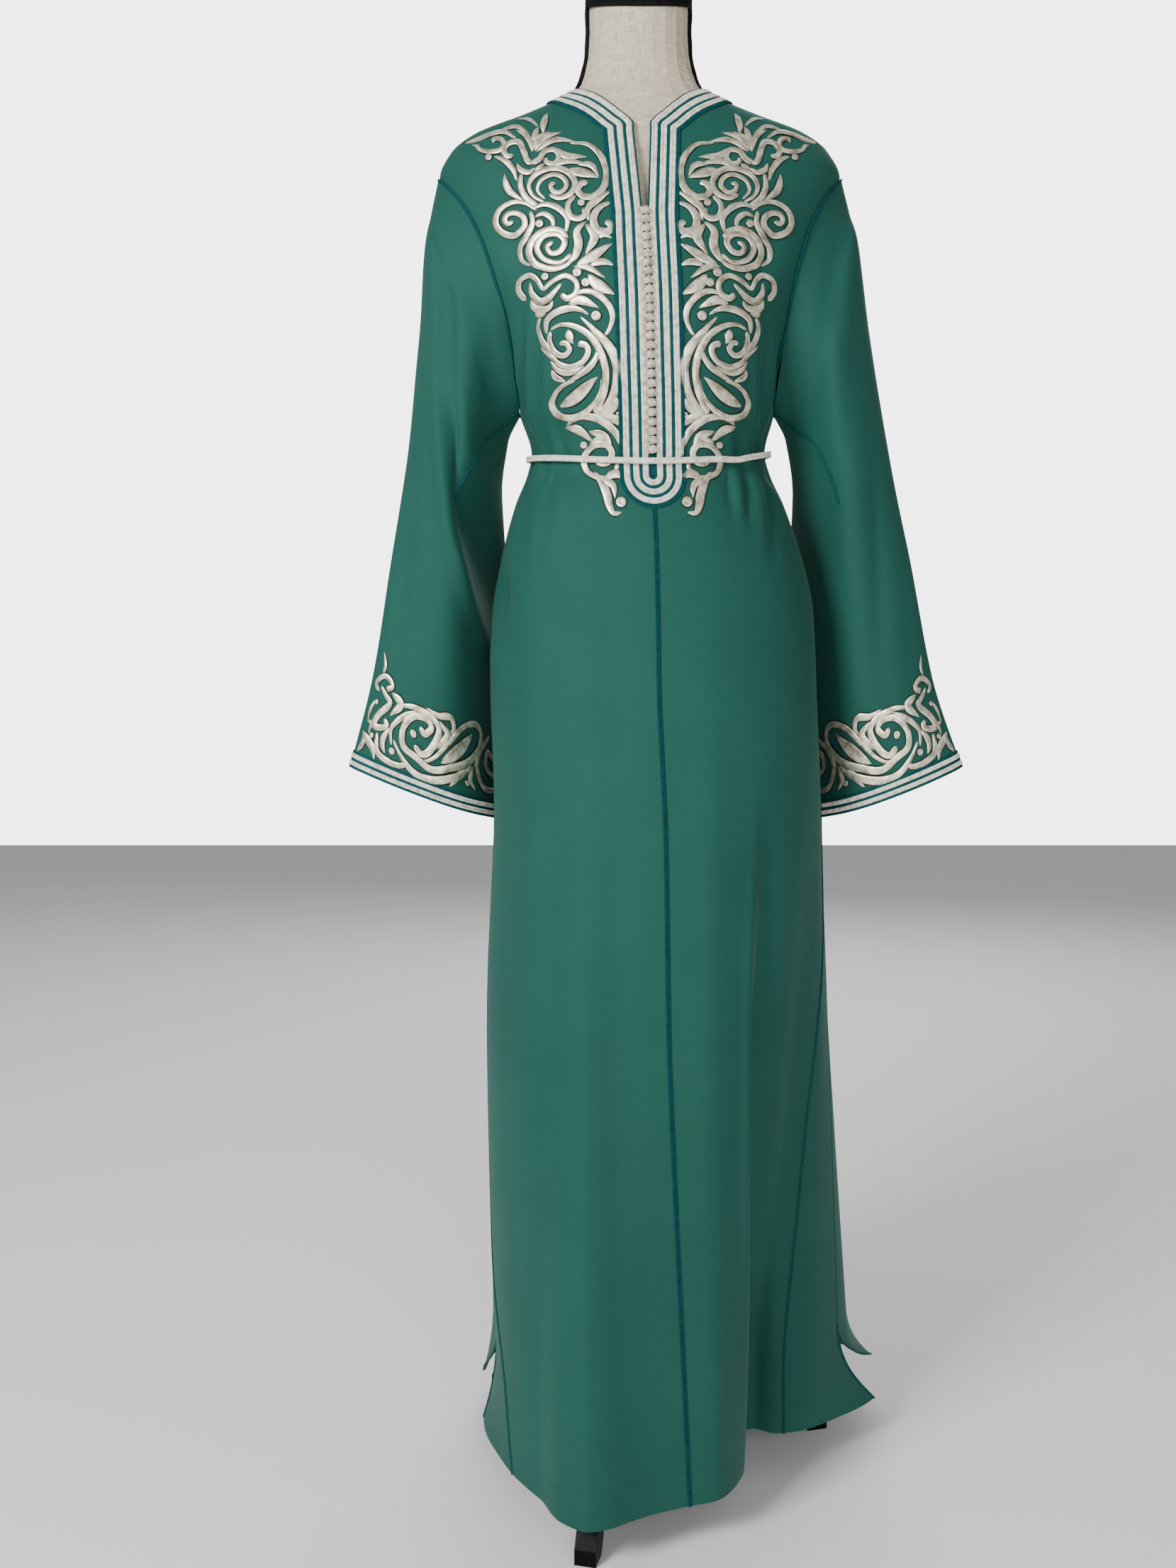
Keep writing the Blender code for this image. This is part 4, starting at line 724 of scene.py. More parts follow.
def around_centre(azimuth: Array, reach: Array, z: Array) -> Array:
    """Points at a reach from the garment's centre line."""
    angle = np.radians(azimuth)
    x = SECTION.read(CENTRE, z) + reach * np.sin(angle)
    return np.stack((x, -reach * np.cos(angle), z + 0 * reach), -1)


def plain_point(azimuth: Array, z: Array) -> Array:
    """Points of the cloth before its creases."""
    return around_centre(azimuth, cloth_reach(azimuth, z), z)


def unit(vectors: Array) -> Array:
    """Vectors brought to length 1."""
    return vectors / np.maximum(np.linalg.norm(vectors, axis=-1, keepdims=True), 1e-12)


def plain_normal(azimuth: Array, z: Array) -> Array:
    """Outward directions of the cloth before its creases."""
    across = plain_point(azimuth + 0.3, z) - plain_point(azimuth - 0.3, z)
    up = plain_point(azimuth, z + 0.001) - plain_point(azimuth, z - 0.001)
    return unit(np.cross(across, up))


def cloth_point(azimuth: Array, z: Array) -> Array:
    """Points of the creased cloth's outer side."""
    azimuth, z = np.broadcast_arrays(np.asarray(azimuth, float), np.asarray(z, float))
    points = plain_point(azimuth, z)
    facing = np.where(np.abs(turned(azimuth)) < 90, -1.0, 1.0)
    # Creases die out towards the sides so that the two faces meet
    meet = np.clip(np.abs(np.cos(np.radians(azimuth))) * 4, 0, 1)
    lift = crease_height(points[..., 0] - SECTION.read(CENTRE, z), z, facing) * meet
    return points + plain_normal(azimuth, z) * lift[..., None]


def cloth_frame(azimuth: Array, z: Array) -> tuple[Array, Array]:
    """Points and outward directions of the creased cloth."""
    azimuth, z = np.broadcast_arrays(np.asarray(azimuth, float), np.asarray(z, float))
    across = cloth_point(azimuth + 0.3, z) - cloth_point(azimuth - 0.3, z)
    up = cloth_point(azimuth, z + 0.001) - cloth_point(azimuth, z - 0.001)
    return cloth_point(azimuth, z), unit(np.cross(across, up))


def azimuth_of(x: Array, z: Array) -> Array:
    """Azimuth of the front's point at a distance from the centre line."""
    azimuth = np.degrees(np.arcsin(np.clip(x / SECTION.read(HALF, z), -0.98, 0.98)))
    for _ in range(30):
        reach = cloth_reach(azimuth, z)
        azimuth = 0.5 * azimuth + 0.5 * np.degrees(np.arcsin(np.clip(x / reach, -0.999, 0.999)))
    return azimuth


def slit_half(z: Array) -> Array:
    """Half the width of the neck slit, or of the closed seam under it."""
    share = np.clip((z - FIRST_BUTTON_Z) / (SLIT_CORNER_Z - FIRST_BUTTON_Z), 0.0, 1.0)
    return np.where(z < PLACKET_FOOT_Z, SEAM_GAP / 2, 0.003 + 0.0055 * share)


def armhole(z: Array, deepest: float) -> Array:
    """How far an armhole reaches past the side, in degrees."""
    share = np.clip((SHOULDER_TIP_Z - z) / (SHOULDER_TIP_Z - UNDERARM_Z), 0.0, 1.0)
    return deepest * np.sin(math.pi * share) ** ARMHOLE_POWER


def front_inner(z: Array) -> Array:
    """Azimuth of a front panel's inner edge."""
    slit = np.degrees(np.arctan(slit_half(z) / SECTION.read(FRONT, z)))
    return np.where(z > SLIT_CORNER_Z, NECK.read(0, z), slit)


def panel_outer(side: int, z: Array, sign: int) -> Array:
    """Unsigned azimuth of a front's (sign -1) or the back's (sign 1) outer edge on one side."""
    cut = ARMHOLE_FRONT if sign < 0 else ARMHOLE_BACK
    seam = SEAM[side].read(FRONT_SEAM if sign < 0 else BACK_SEAM, z)
    joined = SEAM[side].read(SLIT_FRONT, z)
    return np.where(z >= UNDERARM_Z, 90 + sign * armhole(z, cut), np.where(z > GORE_TOP_Z, joined, seam))


@dataclass
class MeshData:
    """Points, faces and stroke coordinates of a piece, gathered before its object is made."""

    points: list[Array] = field(default_factory=list)
    faces: list[tuple[int, ...]] = field(default_factory=list)
    uvs: list[Array] = field(default_factory=list)
    count: int = 0

    def add(self, points: Array, faces: list[tuple[int, ...]], uvs: Array | None = None) -> None:
        """Append points with their faces and, for strokes, one coordinate pair a point."""
        points = np.asarray(points, float).reshape(-1, 3)
        self.faces += [tuple(self.count + k for k in face) for face in faces]
        self.points.append(points)
        self.uvs.append(np.zeros((len(points), 2)) if uvs is None else uvs.reshape(-1, 2))
        self.count += len(points)

    def shape(self, name: str) -> Item:
        """Make an object that is kept off the scene, to be repeated."""
        mesh = bpy.data.meshes.new(name)
        mesh.from_pydata(np.concatenate(self.points).tolist(), [], self.faces)
        return bpy.data.objects.new(name, mesh)

    def build(self, name: str, material: Finish) -> Item:
        """Make the object.

        Args:
            name: the piece's name.
            material: its finish.

        Returns:
            The linked object, smooth shaded.
        """
        mesh = bpy.data.meshes.new(name)
        points = np.concatenate(self.points)
        mesh.from_pydata(points.tolist(), [], self.faces)
        layer = mesh.uv_layers.new(name="stroke")
        indices = np.zeros(len(mesh.loops), int)
        mesh.loops.foreach_get("vertex_index", indices)
        layer.data.foreach_set("uv", np.concatenate(self.uvs)[indices].ravel())
        mesh.shade_smooth()
        mesh.set_sharp_from_angle(angle=math.radians(55))
        mesh.materials.append(material)
        return new_object(name, mesh)


def run_length(path: Array) -> Array:
    """Distance run along a path at each of its points."""
    return np.concatenate(([0], np.cumsum(np.linalg.norm(np.diff(path, axis=0), axis=1))))


def curve(a: Array, b: Array, c: Array, d: Array, t: Array) -> Array:
    """Point of a smooth curve between b and c, with a before them and d after them."""
    return 0.5 * (2 * b + (c - a) * t + (2 * a - 5 * b + 4 * c - d) * t ** 2
                  + (3 * b - a - 3 * c + d) * t ** 3)


def grid_faces(rows: int, cols: int, ring: bool, flip: bool = False, start: int = 0) -> list[tuple[int, ...]]:
    """Quads of a grid of points, wrapped round when it is a ring."""
    faces = []
    for r in range(rows - 1):
        for c in range(cols if ring else cols - 1):
            d = (c + 1) % cols
            low, high = start + r * cols, start + (r + 1) * cols
            quad = (low + c, low + d, high + d, high + c)
            faces.append(quad[::-1] if flip else quad)
    return faces


def wall_faces(rows: int, cols: int, ring: bool, flip: bool = False) -> list[tuple[int, ...]]:
    """Faces of an outer grid, an inner grid and the edges that join them."""
    inner = rows * cols
    faces = grid_faces(rows, cols, ring, flip) + grid_faces(rows, cols, ring, not flip, inner)
    rim = []
    for r, turn in ((0, True), (rows - 1, False)):
        for c in range(cols if ring else cols - 1):
            a, b = r * cols + c, r * cols + (c + 1) % cols
            rim.append((a, inner + a, inner + b, b) if turn else (a, b, inner + b, inner + a))
    if not ring:
        for c, turn in ((0, False), (cols - 1, True)):
            for r in range(rows - 1):
                a, b = r * cols + c, (r + 1) * cols + c
                rim.append((a, inner + a, inner + b, b) if turn else (a, b, inner + b, inner + a))
    return faces + [face[::-1] if flip else face for face in rim]


def sweep(data: MeshData, path: Array, normals: Array, section: Array, ring: bool, lift: float = 0.0) -> None:
    """Carry a closed section along a path.

    Args:
        data: the mesh that receives the tube.
        path: points of the centre line.
        normals: outward directions at them.
        section: pairs of distance across and distance out, clockwise seen against the path.
        ring: whether the path closes.
        lift: distance that the path stands off.
    """
    before = np.roll(path, 1, axis=0) if ring else np.vstack((path[:1], path[:-1]))
    after = np.roll(path, -1, axis=0) if ring else np.vstack((path[1:], path[-1:]))
    along = unit(after - before)
    across = unit(np.cross(normals, along))
    spots = (path + lift * normals)[:, None, :] + (
        across[:, None, :] * section[None, :, :1] + normals[:, None, :] * section[None, :, 1:])
    rows, cols = len(path), len(section)
    length = run_length(path)
    uvs = np.stack(np.broadcast_arrays(length[:, None], np.linspace(-1, 1, cols)[None, :]), -1)
    faces = [tuple(k % (rows * cols) for k in face) for face in grid_faces(rows + ring, cols, True)]
    if not ring:
        faces += [tuple(range(cols))[::-1], tuple((rows - 1) * cols + c for c in range(cols))]
    data.add(spots, faces, uvs)


def round_section(width: float, height: float, count: int) -> Array:
    """An oval section that rests on the cloth."""
    angle = np.linspace(0, 2 * math.pi, count, endpoint=False)
    return np.stack((width / 2 * np.cos(angle), height / 2 * (1 + np.sin(angle))), -1)[::-1]


def smooth_line(points: Array, step: float) -> Array:
    """Points spread evenly on a smooth curve through a few.

    Args:
        points: the few points, in any number of dimensions.
        step: distance between the new ones.

    Returns:
        The new points, both ends kept.
    """
    ends = np.vstack((2 * points[:1] - points[1:2], points, 2 * points[-1:] - points[-2:-1]))
    dense = []
    for i in range(1, len(ends) - 2):
        a, b, c, d = ends[i - 1:i + 3]
        t = np.linspace(0, 1, 24, endpoint=i == len(ends) - 3)[:, None]
        dense.append(curve(a, b, c, d, t))
    dense = np.vstack(dense)
    length = run_length(dense)
    places = np.linspace(0, length[-1], max(3, int(round(length[-1] / step)) + 1))
    return np.stack([np.interp(places, length, dense[:, k]) for k in range(points.shape[1])], -1)


def new_object(name: str, content: bpy.types.ID) -> Item:
    """Make an object of a mesh, a lamp or a camera and link it."""
    item = bpy.data.objects.new(name, content)
    bpy.context.collection.objects.link(item)
    return item


def declare(item: Item, slot: str, *nodes: str) -> Item:
    """Let a piece ride on the part and hide the CAD nodes that it stands for."""
    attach(item, "root")
    if nodes:
        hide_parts(*nodes)
    return item


@dataclass
class Panels:
    """Fronts, gores and back of the kaftan, each a creased sheet with thickness."""

    row_step: float = 0.0068
    column_step: float = 0.0038

    def heights(self, low: float, high: float) -> Array:
        """Heights of the rows, closer together at the neck."""
        rows = np.arange(low, min(high, SHOULDER_TIP_Z), self.row_step)
        if high > SHOULDER_TIP_Z:
            rows = np.concatenate((rows, np.linspace(SHOULDER_TIP_Z, high, 42)))
        keep = np.unique(np.round(np.concatenate((rows, [low, high])), 5))
        extra = [z for z in (GORE_TOP_Z, GORE_TOP_Z + 0.01, PLACKET_FOOT_Z, PLACKET_FOOT_Z - 0.001,
                             UNDERARM_Z, FIRST_BUTTON_Z, SLIT_CORNER_Z, SLIT_TOP_Z) if low < z < high]
        return np.unique(np.round(np.concatenate((keep, extra)), 5))

    def sheet(self, name: str, low: float, high: float, edges: Callable[[Array], tuple[Array, Array]],
              width: float, material: Finish, flat: tuple[float, float], area: float) -> Item:
        """Make one panel.

        Args:
            name: the CAD node that it stands for.
            low: its lowest height.
            high: its highest height.
            edges: gives the two edge azimuths at heights.
            width: its greatest width, which sets the number of columns.
            material: the cloth.
            flat: the cut's width and length; not used.
            area: the cut's area; not used.

        Returns:
            The panel's object.
        """
        z = self.heights(low, high)
        start, end = edges(z)
        start = start + np.degrees(SEAM_GAP / 2 / cloth_reach(start, z))
        end = end - np.degrees(SEAM_GAP / 2 / cloth_reach(end, z))
        cols = max(4, int(width / self.column_step))
        share = np.linspace(0, 1, cols)
        azimuth = start[:, None] + (end - start)[:, None] * share[None, :]
        points, normals = cloth_frame(azimuth, z[:, None])
        data = MeshData()
        data.add(np.concatenate((points.reshape(-1, 3), (points - WALL * normals).reshape(-1, 3))),
                 wall_faces(len(z), cols, False))
        item = declare(data.build(f"cloth_{name}", material), "crepe", name)
        return item

    def build(self, material: Finish) -> list[Item]:
        """Make the seven panels."""
        def pair(side: int, low: Array, high: Array) -> tuple[Array, Array]:
            return (low, high) if side > 0 else (-high, -low)

        made = []
        for side, word in SIDES:
            seam = SEAM[side]
            made.append(self.sheet(
                f"front_{word}", HEM_Z, NECK_Z,
                lambda z, s=side: pair(s, front_inner(z), panel_outer(s, z, -1)),
                0.23, material, *FRONT_CUTS[word]))
            made.append(self.sheet(
                f"gore_front_{word}", HEM_Z, GORE_TOP_Z,
                lambda z, s=side, t=seam: pair(s, t.read(FRONT_SEAM, z), t.read(SLIT_FRONT, z)),
                0.08, material, *GORE_FRONT_CUTS[word]))
            made.append(self.sheet(
                f"gore_back_{word}", HEM_Z, GORE_TOP_Z,
                lambda z, s=side, t=seam: pair(s, t.read(SLIT_BACK, z), t.read(BACK_SEAM, z)),
                0.12, material, *GORE_BACK_CUTS[word]))
        made.append(self.sheet(
            "back", HEM_Z, NECK_Z,
            lambda z: (panel_outer(1, z, 1), 360 - panel_outer(-1, z, 1)), 0.36, material, *BACK_CUT))
        return made


# Cut of each panel: width and length in metres, and area in square metres
FRONT_CUTS = {"left": ((0.265, 1.60), 0.318), "right": ((0.330, 1.62), 0.373)}
GORE_FRONT_CUTS = {"left": ((0.142, 0.83), 0.0423), "right": ((0.130, 0.84), 0.0335)}
GORE_BACK_CUTS = {"left": ((0.211, 0.90), 0.0834), "right": ((0.206, 0.86), 0.0733)}
BACK_CUT = ((0.502, 1.60), 0.61)


@dataclass
class Sleeves:
    """Two wide sleeves with their grids kept for the cuffs' braids and embroidery."""

    columns: int = 120
    rows: int = 114
    grids: dict[int, Array] = field(default_factory=dict)
    normals: dict[int, Array] = field(default_factory=dict)
    around: dict[int, Array] = field(default_factory=dict)
    upward: dict[int, Array] = field(default_factory=dict)

    def armhole_loop(self, side: int) -> Array:
        """Edge of one armhole: down the front from the shoulder's tip, then up the back."""
        half = self.columns // 2
        k = np.arange(self.columns)
        share = np.where(k <= half, k / half, (self.columns - k) / half)
        z = SHOULDER_TIP_Z + share * (UNDERARM_Z - SHOULDER_TIP_Z)
        azimuth = np.where(k <= half, 90 - armhole(z, ARMHOLE_FRONT), 90 + armhole(z, ARMHOLE_BACK))
        points = plain_point(side * azimuth, z)
        off = SLEEVE_STANDOFF + SHOULDER_STANDOFF * (1 - share) ** 4
        out = np.abs(points[:, 0] - SECTION.read(CENTRE, z)) + off
        return np.stack((out, points[:, 1], z), -1)

    def section_loop(self, row: Row) -> Array:
        """One loop of the sleeve, its height falling from the outer fold to the inner one."""
        outer_z, inner_z, outer_x = row[:3]
        spots = [(outer_x, 0.0)] + [tuple(row[k:k + 2]) for k in range(3, 13, 2)]
        span = outer_x - row[7]
        corners = np.array([(x, y, outer_z - (outer_z - inner_z) * (outer_x - x) / span) for x, y in spots])
        place = np.arange(self.columns) * len(corners) / self.columns
        i = place.astype(int)
        t = (place - i)[:, None]
        a, b, c, d = (corners[(i + j) % len(corners)] for j in (-1, 0, 1, 2))
        return curve(a, b, c, d, t)

    def grid(self, side: int) -> Array:
        """Rows of the sleeve from the armhole to the cuff, with its creases."""
        stations = np.array([self.armhole_loop(side)] + [self.section_loop(row) for row in SLEEVE_ROWS])
        keys = [0.0] + [SHOULDER_TIP_Z - row[0] for row in SLEEVE_ROWS]
        at = keys[-1] * (np.arange(self.rows) / (self.rows - 1)) ** 1.15
        flat = stations.reshape(len(keys), -1)
        table = Table([(key, *row) for key, row in zip(keys, flat)])
        spots = np.stack([table.read(k, at) for k in range(flat.shape[1])], -1)
        spots = spots.reshape(self.rows, self.columns, 3)
        x = SECTION.read(CENTRE, spots[..., 2]) + side * spots[..., 0]
        grid = np.stack((x, spots[..., 1], spots[..., 2]), -1)
        normals = self.outward(grid, side)
        facing = np.sign(normals[..., 1])
        below = np.clip((np.arange(self.rows) - 3) / 14, 0, 1)[:, None]
        fade = below * np.clip(np.abs(normals[..., 1]) * 2, 0, 1)
        lift = crease_height(side * spots[..., 0], spots[..., 2], facing) * fade
        return grid + normals * lift[..., None]

    def outward(self, grid: Array, side: int) -> Array:
        """Outward directions of a sleeve's grid."""
        across = np.roll(grid, -1, axis=1) - np.roll(grid, 1, axis=1)
        return unit(side * np.cross(across, np.gradient(grid, axis=0)))

    def build(self, material: Finish) -> list[Item]:
        """Make both sleeves and measure them round and upward from the cuff."""
        made = []
        for side, word in SIDES:
            grid = self.grid(side)
            normals = self.outward(grid, side)
            self.grids[side], self.normals[side] = grid, normals
            last = grid[-1]
            self.around[side] = run_length(np.vstack((last, last[:1])))
            rise = np.linalg.norm(np.diff(grid, axis=0), axis=2)[::-1]
            self.upward[side] = np.concatenate((np.zeros((1, self.columns)), np.cumsum(rise, axis=0)))
            data = MeshData()
            data.add(np.concatenate((grid.reshape(-1, 3), (grid - WALL * normals).reshape(-1, 3))),
                     wall_faces(self.rows, self.columns, True, flip=side < 0))
            item = declare(data.build(f"cloth_sleeve_{word}", material), "crepe", f"sleeve_{word}")
            made.append(item)
        return made

    def locate(self, side: int, round_mm: Array, up_mm: Array) -> tuple[Array, Array]:
        """Find points of the cuff.

        Args:
            side: 1 for the wearer's left.
            round_mm: distance round from the outer fold along the front; below zero along the back.
            up_mm: distance up from the edge.

        Returns:
            Points and outward directions.
        """
        around = self.around[side]
        total = around[-1]
        spot = np.mod(np.asarray(round_mm, float) / 1000, total)
        column = np.interp(spot, around, np.arange(self.columns + 1))
        c0 = np.floor(column).astype(int) % self.columns
        c1 = (c0 + 1) % self.columns
        mix = (column - np.floor(column))[:, None]
        out = []
        for source in (self.grids[side], self.normals[side]):
            ends = []
            for c in (c0, c1):
                rows = np.array([np.interp(v / 1000, self.upward[side][:, k], np.arange(self.rows))
                                 for v, k in zip(np.asarray(up_mm, float), c)])
                low = np.clip(np.floor(rows).astype(int), 0, self.rows - 2)
                part = (rows - low)[:, None]
                flipped = source[::-1]
                ends.append(flipped[low, c] * (1 - part) + flipped[low + 1, c] * part)
            out.append(ends[0] * (1 - mix) + ends[1] * mix)
        return out[0], unit(out[1])


@dataclass
class Embroidery:
    """Padded satin stitch: every stroke is a low rounded ridge on the cloth."""

    height: float = 0.0016
    step: float = 1.5
    sink: float = 0.0002
    dome: int = 7
    fuller: float = 1.03

    def section(self, veined: bool) -> Array:
        """Section of a stroke one metre wide: distance across and height share."""
        angle = np.linspace(0, math.pi, self.dome)
        top = np.stack((0.5 * np.cos(angle), np.sin(angle) ** 0.55), -1)
        if veined:
            top[self.dome // 2, 1] = 0.45
        return top

    def stroke(self, data: MeshData, plane: Array, widths: Array, place: Place,
               veined: bool) -> None:
        """Lay one stroke.

        Args:
            data: the mesh that receives it.
            plane: its centre line in millimetres on the cloth.
            widths: its width at each point, in millimetres.
            place: turns millimetre pairs into points and outward directions.
            veined: whether its middle is sunk.
        """
        widths = widths * self.fuller
        along = unit(np.gradient(plane, axis=0))
        across = np.stack((-along[:, 1], along[:, 0]), -1)
        section = self.section(veined)
        rows, cols = len(plane), len(section)
        spots = plane[:, None, :] + across[:, None, :] * (widths[:, None] * section[None, :, 0])[..., None]
        points, normals = place(spots.reshape(-1, 2))
        rise = self.height * np.clip(widths / 6.0, 0.25, 1.15)
        lift = (rise[:, None] * section[None, :, 1]).ravel() - self.sink
        raised = points + normals * lift[:, None]
        length = run_length(plane) / 1000
        # The coordinate across also sets the painted shade along the stroke's edges
        uvs = np.stack(np.broadcast_arrays(length[:, None] + plane[0, 0] * 0.37, section[None, :, 0]), -1)
        faces = grid_faces(rows, cols, False)
        centre = raised.reshape(rows, cols, 3)
        half = rows // 2
        turn = np.cross(centre[half, 1] - centre[half, 0], centre[half + 1, 0] - centre[half, 0])
        if turn.dot(normals.reshape(rows, cols, 3)[half, 0]) < 0 and rows > 2:
            faces = [face[::-1] for face in faces]
        data.add(raised, faces, uvs)

    def motif(self, data: MeshData, motif: Motif, place: Place) -> None:
        """Lay one motif of a table."""
        kind, *numbers = motif
        count = 3 if kind is VINE else 1
        size, spots = numbers[:count], np.array(numbers[count:], float).reshape(-1, 2)
        if kind is DOT:
            self.dot(data, spots[0], size[0], place)
            return
        line = smooth_line(spots, self.step)
        t = np.linspace(0, 1, len(line))
        if kind is VINE:
            start, middle, end = size
            widths = np.where(t < 0.5, start + (middle - start) * np.sin(math.pi * t),
                              end + (middle - end) * np.sin(math.pi * t))
            tip = np.minimum(1, np.sqrt(np.maximum(0, np.minimum(t, 1 - t)) * len(line) * self.step / 2.5))
            widths = widths * np.maximum(tip, 0.12)
        else:
            widths = size[0] * np.maximum(np.sin(math.pi * t ** 0.85) ** 0.8, 0.05)
        self.stroke(data, line, widths, place, kind is VEINED)

    def dot(self, data: MeshData, middle: Array, radius: float, place: Place) -> None:
        """Lay a round dot with a dimple in its middle."""
        rings = ((1.0, 0.0), (0.94, 0.65), (0.72, 1.0), (0.35, 1.05), (0.12, 0.75))
        angle = np.linspace(0, 2 * math.pi, 16, endpoint=False)
        circle = np.stack((np.cos(angle), np.sin(angle)), -1)
        spots = np.concatenate([middle + radius * r * circle for r, _ in rings])
        points, normals = place(spots)
        lift = np.repeat([h for _, h in rings], 16) * self.height - self.sink
        raised = points + normals * lift[:, None]
        faces = grid_faces(len(rings), 16, True) + [tuple(4 * 16 + c for c in range(16))]
        a, b, c = raised[0], raised[1], raised[16]
        if np.cross(b - a, c - a).dot(normals[0]) < 0:
            faces = [face[::-1] for face in faces]
        turns = np.tile(angle * radius / 1000, len(rings))
        # The dot's outer rings take the painted shade of a stroke's edge
        data.add(raised, faces, np.stack((turns, 0.47 * np.repeat([r for r, _ in rings], 16)), -1))

    def build_fronts(self, material: Finish) -> list[Item]:
        """Embroider both fronts, the second the mirror of the first."""
        made = []
        for side, word in SIDES:
            def place(spots: Array, s: int = side) -> tuple[Array, Array]:
                """Put millimetre pairs on the front."""
                z = spots[:, 1] / 1000
                return cloth_frame(s * azimuth_of(spots[:, 0] / 1000, z), z)

            data = MeshData()
            for motif in FRONT_MOTIFS:
                self.motif(data, motif, place)
            made.append(declare(data.build(f"embroidery_front_{word}", material), "braid"))
        return made

    def build_cuffs(self, sleeves: Sleeves, material: Finish) -> list[Item]:
        """Embroider both cuffs all round, the rear half the mirror of the front half."""
        made = []
        for side, word in SIDES:
            data = MeshData()
            half_front = sleeves.around[side][sleeves.columns // 2] * 1000
            total = sleeves.around[side][-1] * 1000
            for way, reach in ((1, half_front), (-1, total - half_front)):
                def place(spots: Array, s: int = side, w: int = way,
                          r: float = reach) -> tuple[Array, Array]:
                    """Put millimetre pairs on the cuff."""
                    return sleeves.locate(s, w * spots[:, 0] * (r / CUFF_HALF), spots[:, 1])

                for motif in CUFF_MOTIFS:
                    self.motif(data, motif, place)
            made.append(declare(data.build(f"embroidery_cuff_{word}", material), "braid"))
        return made


# Length of the cuff's half that the table of its motifs fills, in mm
CUFF_HALF = 317.0


class Plait:
    """Geometry Nodes that repeat one small plait along a path."""

    def __init__(self, name: str) -> None:
        """Build the tree with its named inputs."""
        tree = bpy.data.node_groups.new(name, "GeometryNodeTree")
        for label, kind in (("Path", "NodeSocketGeometry"), ("Plait", "NodeSocketObject"),
                            ("Pitch", "NodeSocketFloat"), ("Finish", "NodeSocketMaterial")):
            tree.interface.new_socket(label, in_out="INPUT", socket_type=kind)
        tree.interface.new_socket("Braid", in_out="OUTPUT", socket_type="NodeSocketGeometry")
        given = add_node(tree, "NodeGroupInput").outputs
        curve = add_node(tree, "GeometryNodeMeshToCurve", None, None, {"Mesh": given["Path"]})
        spaced = add_node(tree, "GeometryNodeResampleCurve", {"mode": "LENGTH"}, None,
                          {"Curve": curve.outputs[0], "Length": given["Pitch"]})
        out = add_node(tree, "GeometryNodeInputNamedAttribute", {"data_type": "FLOAT_VECTOR"},
                       {"Name": "outward"})
        tangent = add_node(tree, "GeometryNodeInputTangent")
        turn = add_node(tree, "FunctionNodeAxesToRotation",
                        {"primary_axis": "Z", "secondary_axis": "X"}, None,
                        {0: out.outputs[0], 1: tangent.outputs[0]})
        shape = add_node(tree, "GeometryNodeObjectInfo", None, None, {"Object": given["Plait"]})
        placed = add_node(tree, "GeometryNodeInstanceOnPoints", None, None,
                          {"Points": spaced.outputs[0], "Instance": shape.outputs["Geometry"],
                           "Rotation": turn.outputs[0]})
        real = add_node(tree, "GeometryNodeRealizeInstances", None, None, {0: placed.outputs[0]})
        dressed = add_node(tree, "GeometryNodeSetMaterial", None, None,
                           {"Geometry": real.outputs[0], "Material": given["Finish"]})
        add_node(tree, "NodeGroupOutput", None, None, {0: dressed.outputs[0]})
        self.tree = tree

    def repeat(self, name: str, path: Array, normals: Array, ring: bool, shape: Item,
               pitch: float, material: Finish) -> Item:
        """Repeat a plait along a path.

        Args:
            name: the new piece's name.
            path: points of the path.
            normals: outward directions there.
            ring: whether the path closes.
            shape: the plait, centred, pointing along +X with +Z out.
            pitch: distance from one to the next.
            material: the finish.

        Returns:
            A plain mesh object.
        """
        count = len(path)
        edges = [(k, (k + 1) % count) for k in range(count if ring else count - 1)]
        mesh = bpy.data.meshes.new(f"{name}_path")
        mesh.from_pydata(path.tolist(), edges, [])
        mesh.attributes.new("outward", "FLOAT_VECTOR", "POINT").data.foreach_set("vector", normals.ravel())
        carrier = new_object(f"{name}_path", mesh)
        modifier = carrier.modifiers.new("plait", "NODES")
        modifier.node_group = self.tree
        sockets = {item.name: item.identifier for item in self.tree.interface.items_tree
                   if item.in_out == "INPUT"}
        modifier[sockets["Plait"]] = shape
        modifier[sockets["Pitch"]] = pitch
        modifier[sockets["Finish"]] = material
        graph = bpy.context.evaluated_depsgraph_get()
        plain = bpy.data.meshes.new_from_object(carrier.evaluated_get(graph))
        carrier.modifiers.remove(modifier)
        bpy.data.objects.remove(carrier, do_unlink=True)
        plain.name = name
        plain.shade_smooth()
        return new_object(name, plain)


def plait_shape(name: str, length: float, wide: float, high: float, apart: float, slant: float) -> Item:
    """Make one herringbone pair of pillows, kept off the scene.

    Args:
        name: the object's name.
        length: length of a pillow.
        wide: its width.
        high: its height.
        apart: distance of its middle from the braid's middle.
        slant: its angle to the braid, in degrees.

    Returns:
        The unlinked object.
    """
    data = MeshData()
    for side in (1, -1):
        turn = math.radians(side * slant)
        rings = []
        for place, size in ((-0.5, 0.4), (-0.1, 1.0), (0.5, 0.4)):
            angle = np.linspace(0, 2 * math.pi, 6, endpoint=False)
            x = np.full(6, place * length)
            y = size * wide / 2 * np.cos(angle)
            z = high * 0.35 + size * high / 2 * np.sin(angle)
            rings.append(np.stack((x * math.cos(turn) - y * math.sin(turn),
                                   x * math.sin(turn) + y * math.cos(turn) + side * apart, z), -1))
        faces = grid_faces(3, 6, True, flip=True)
        faces += [tuple(range(6)), tuple(12 + c for c in range(6))[::-1]]
        data.add(np.array(rings), faces)
    return data.shape(name)


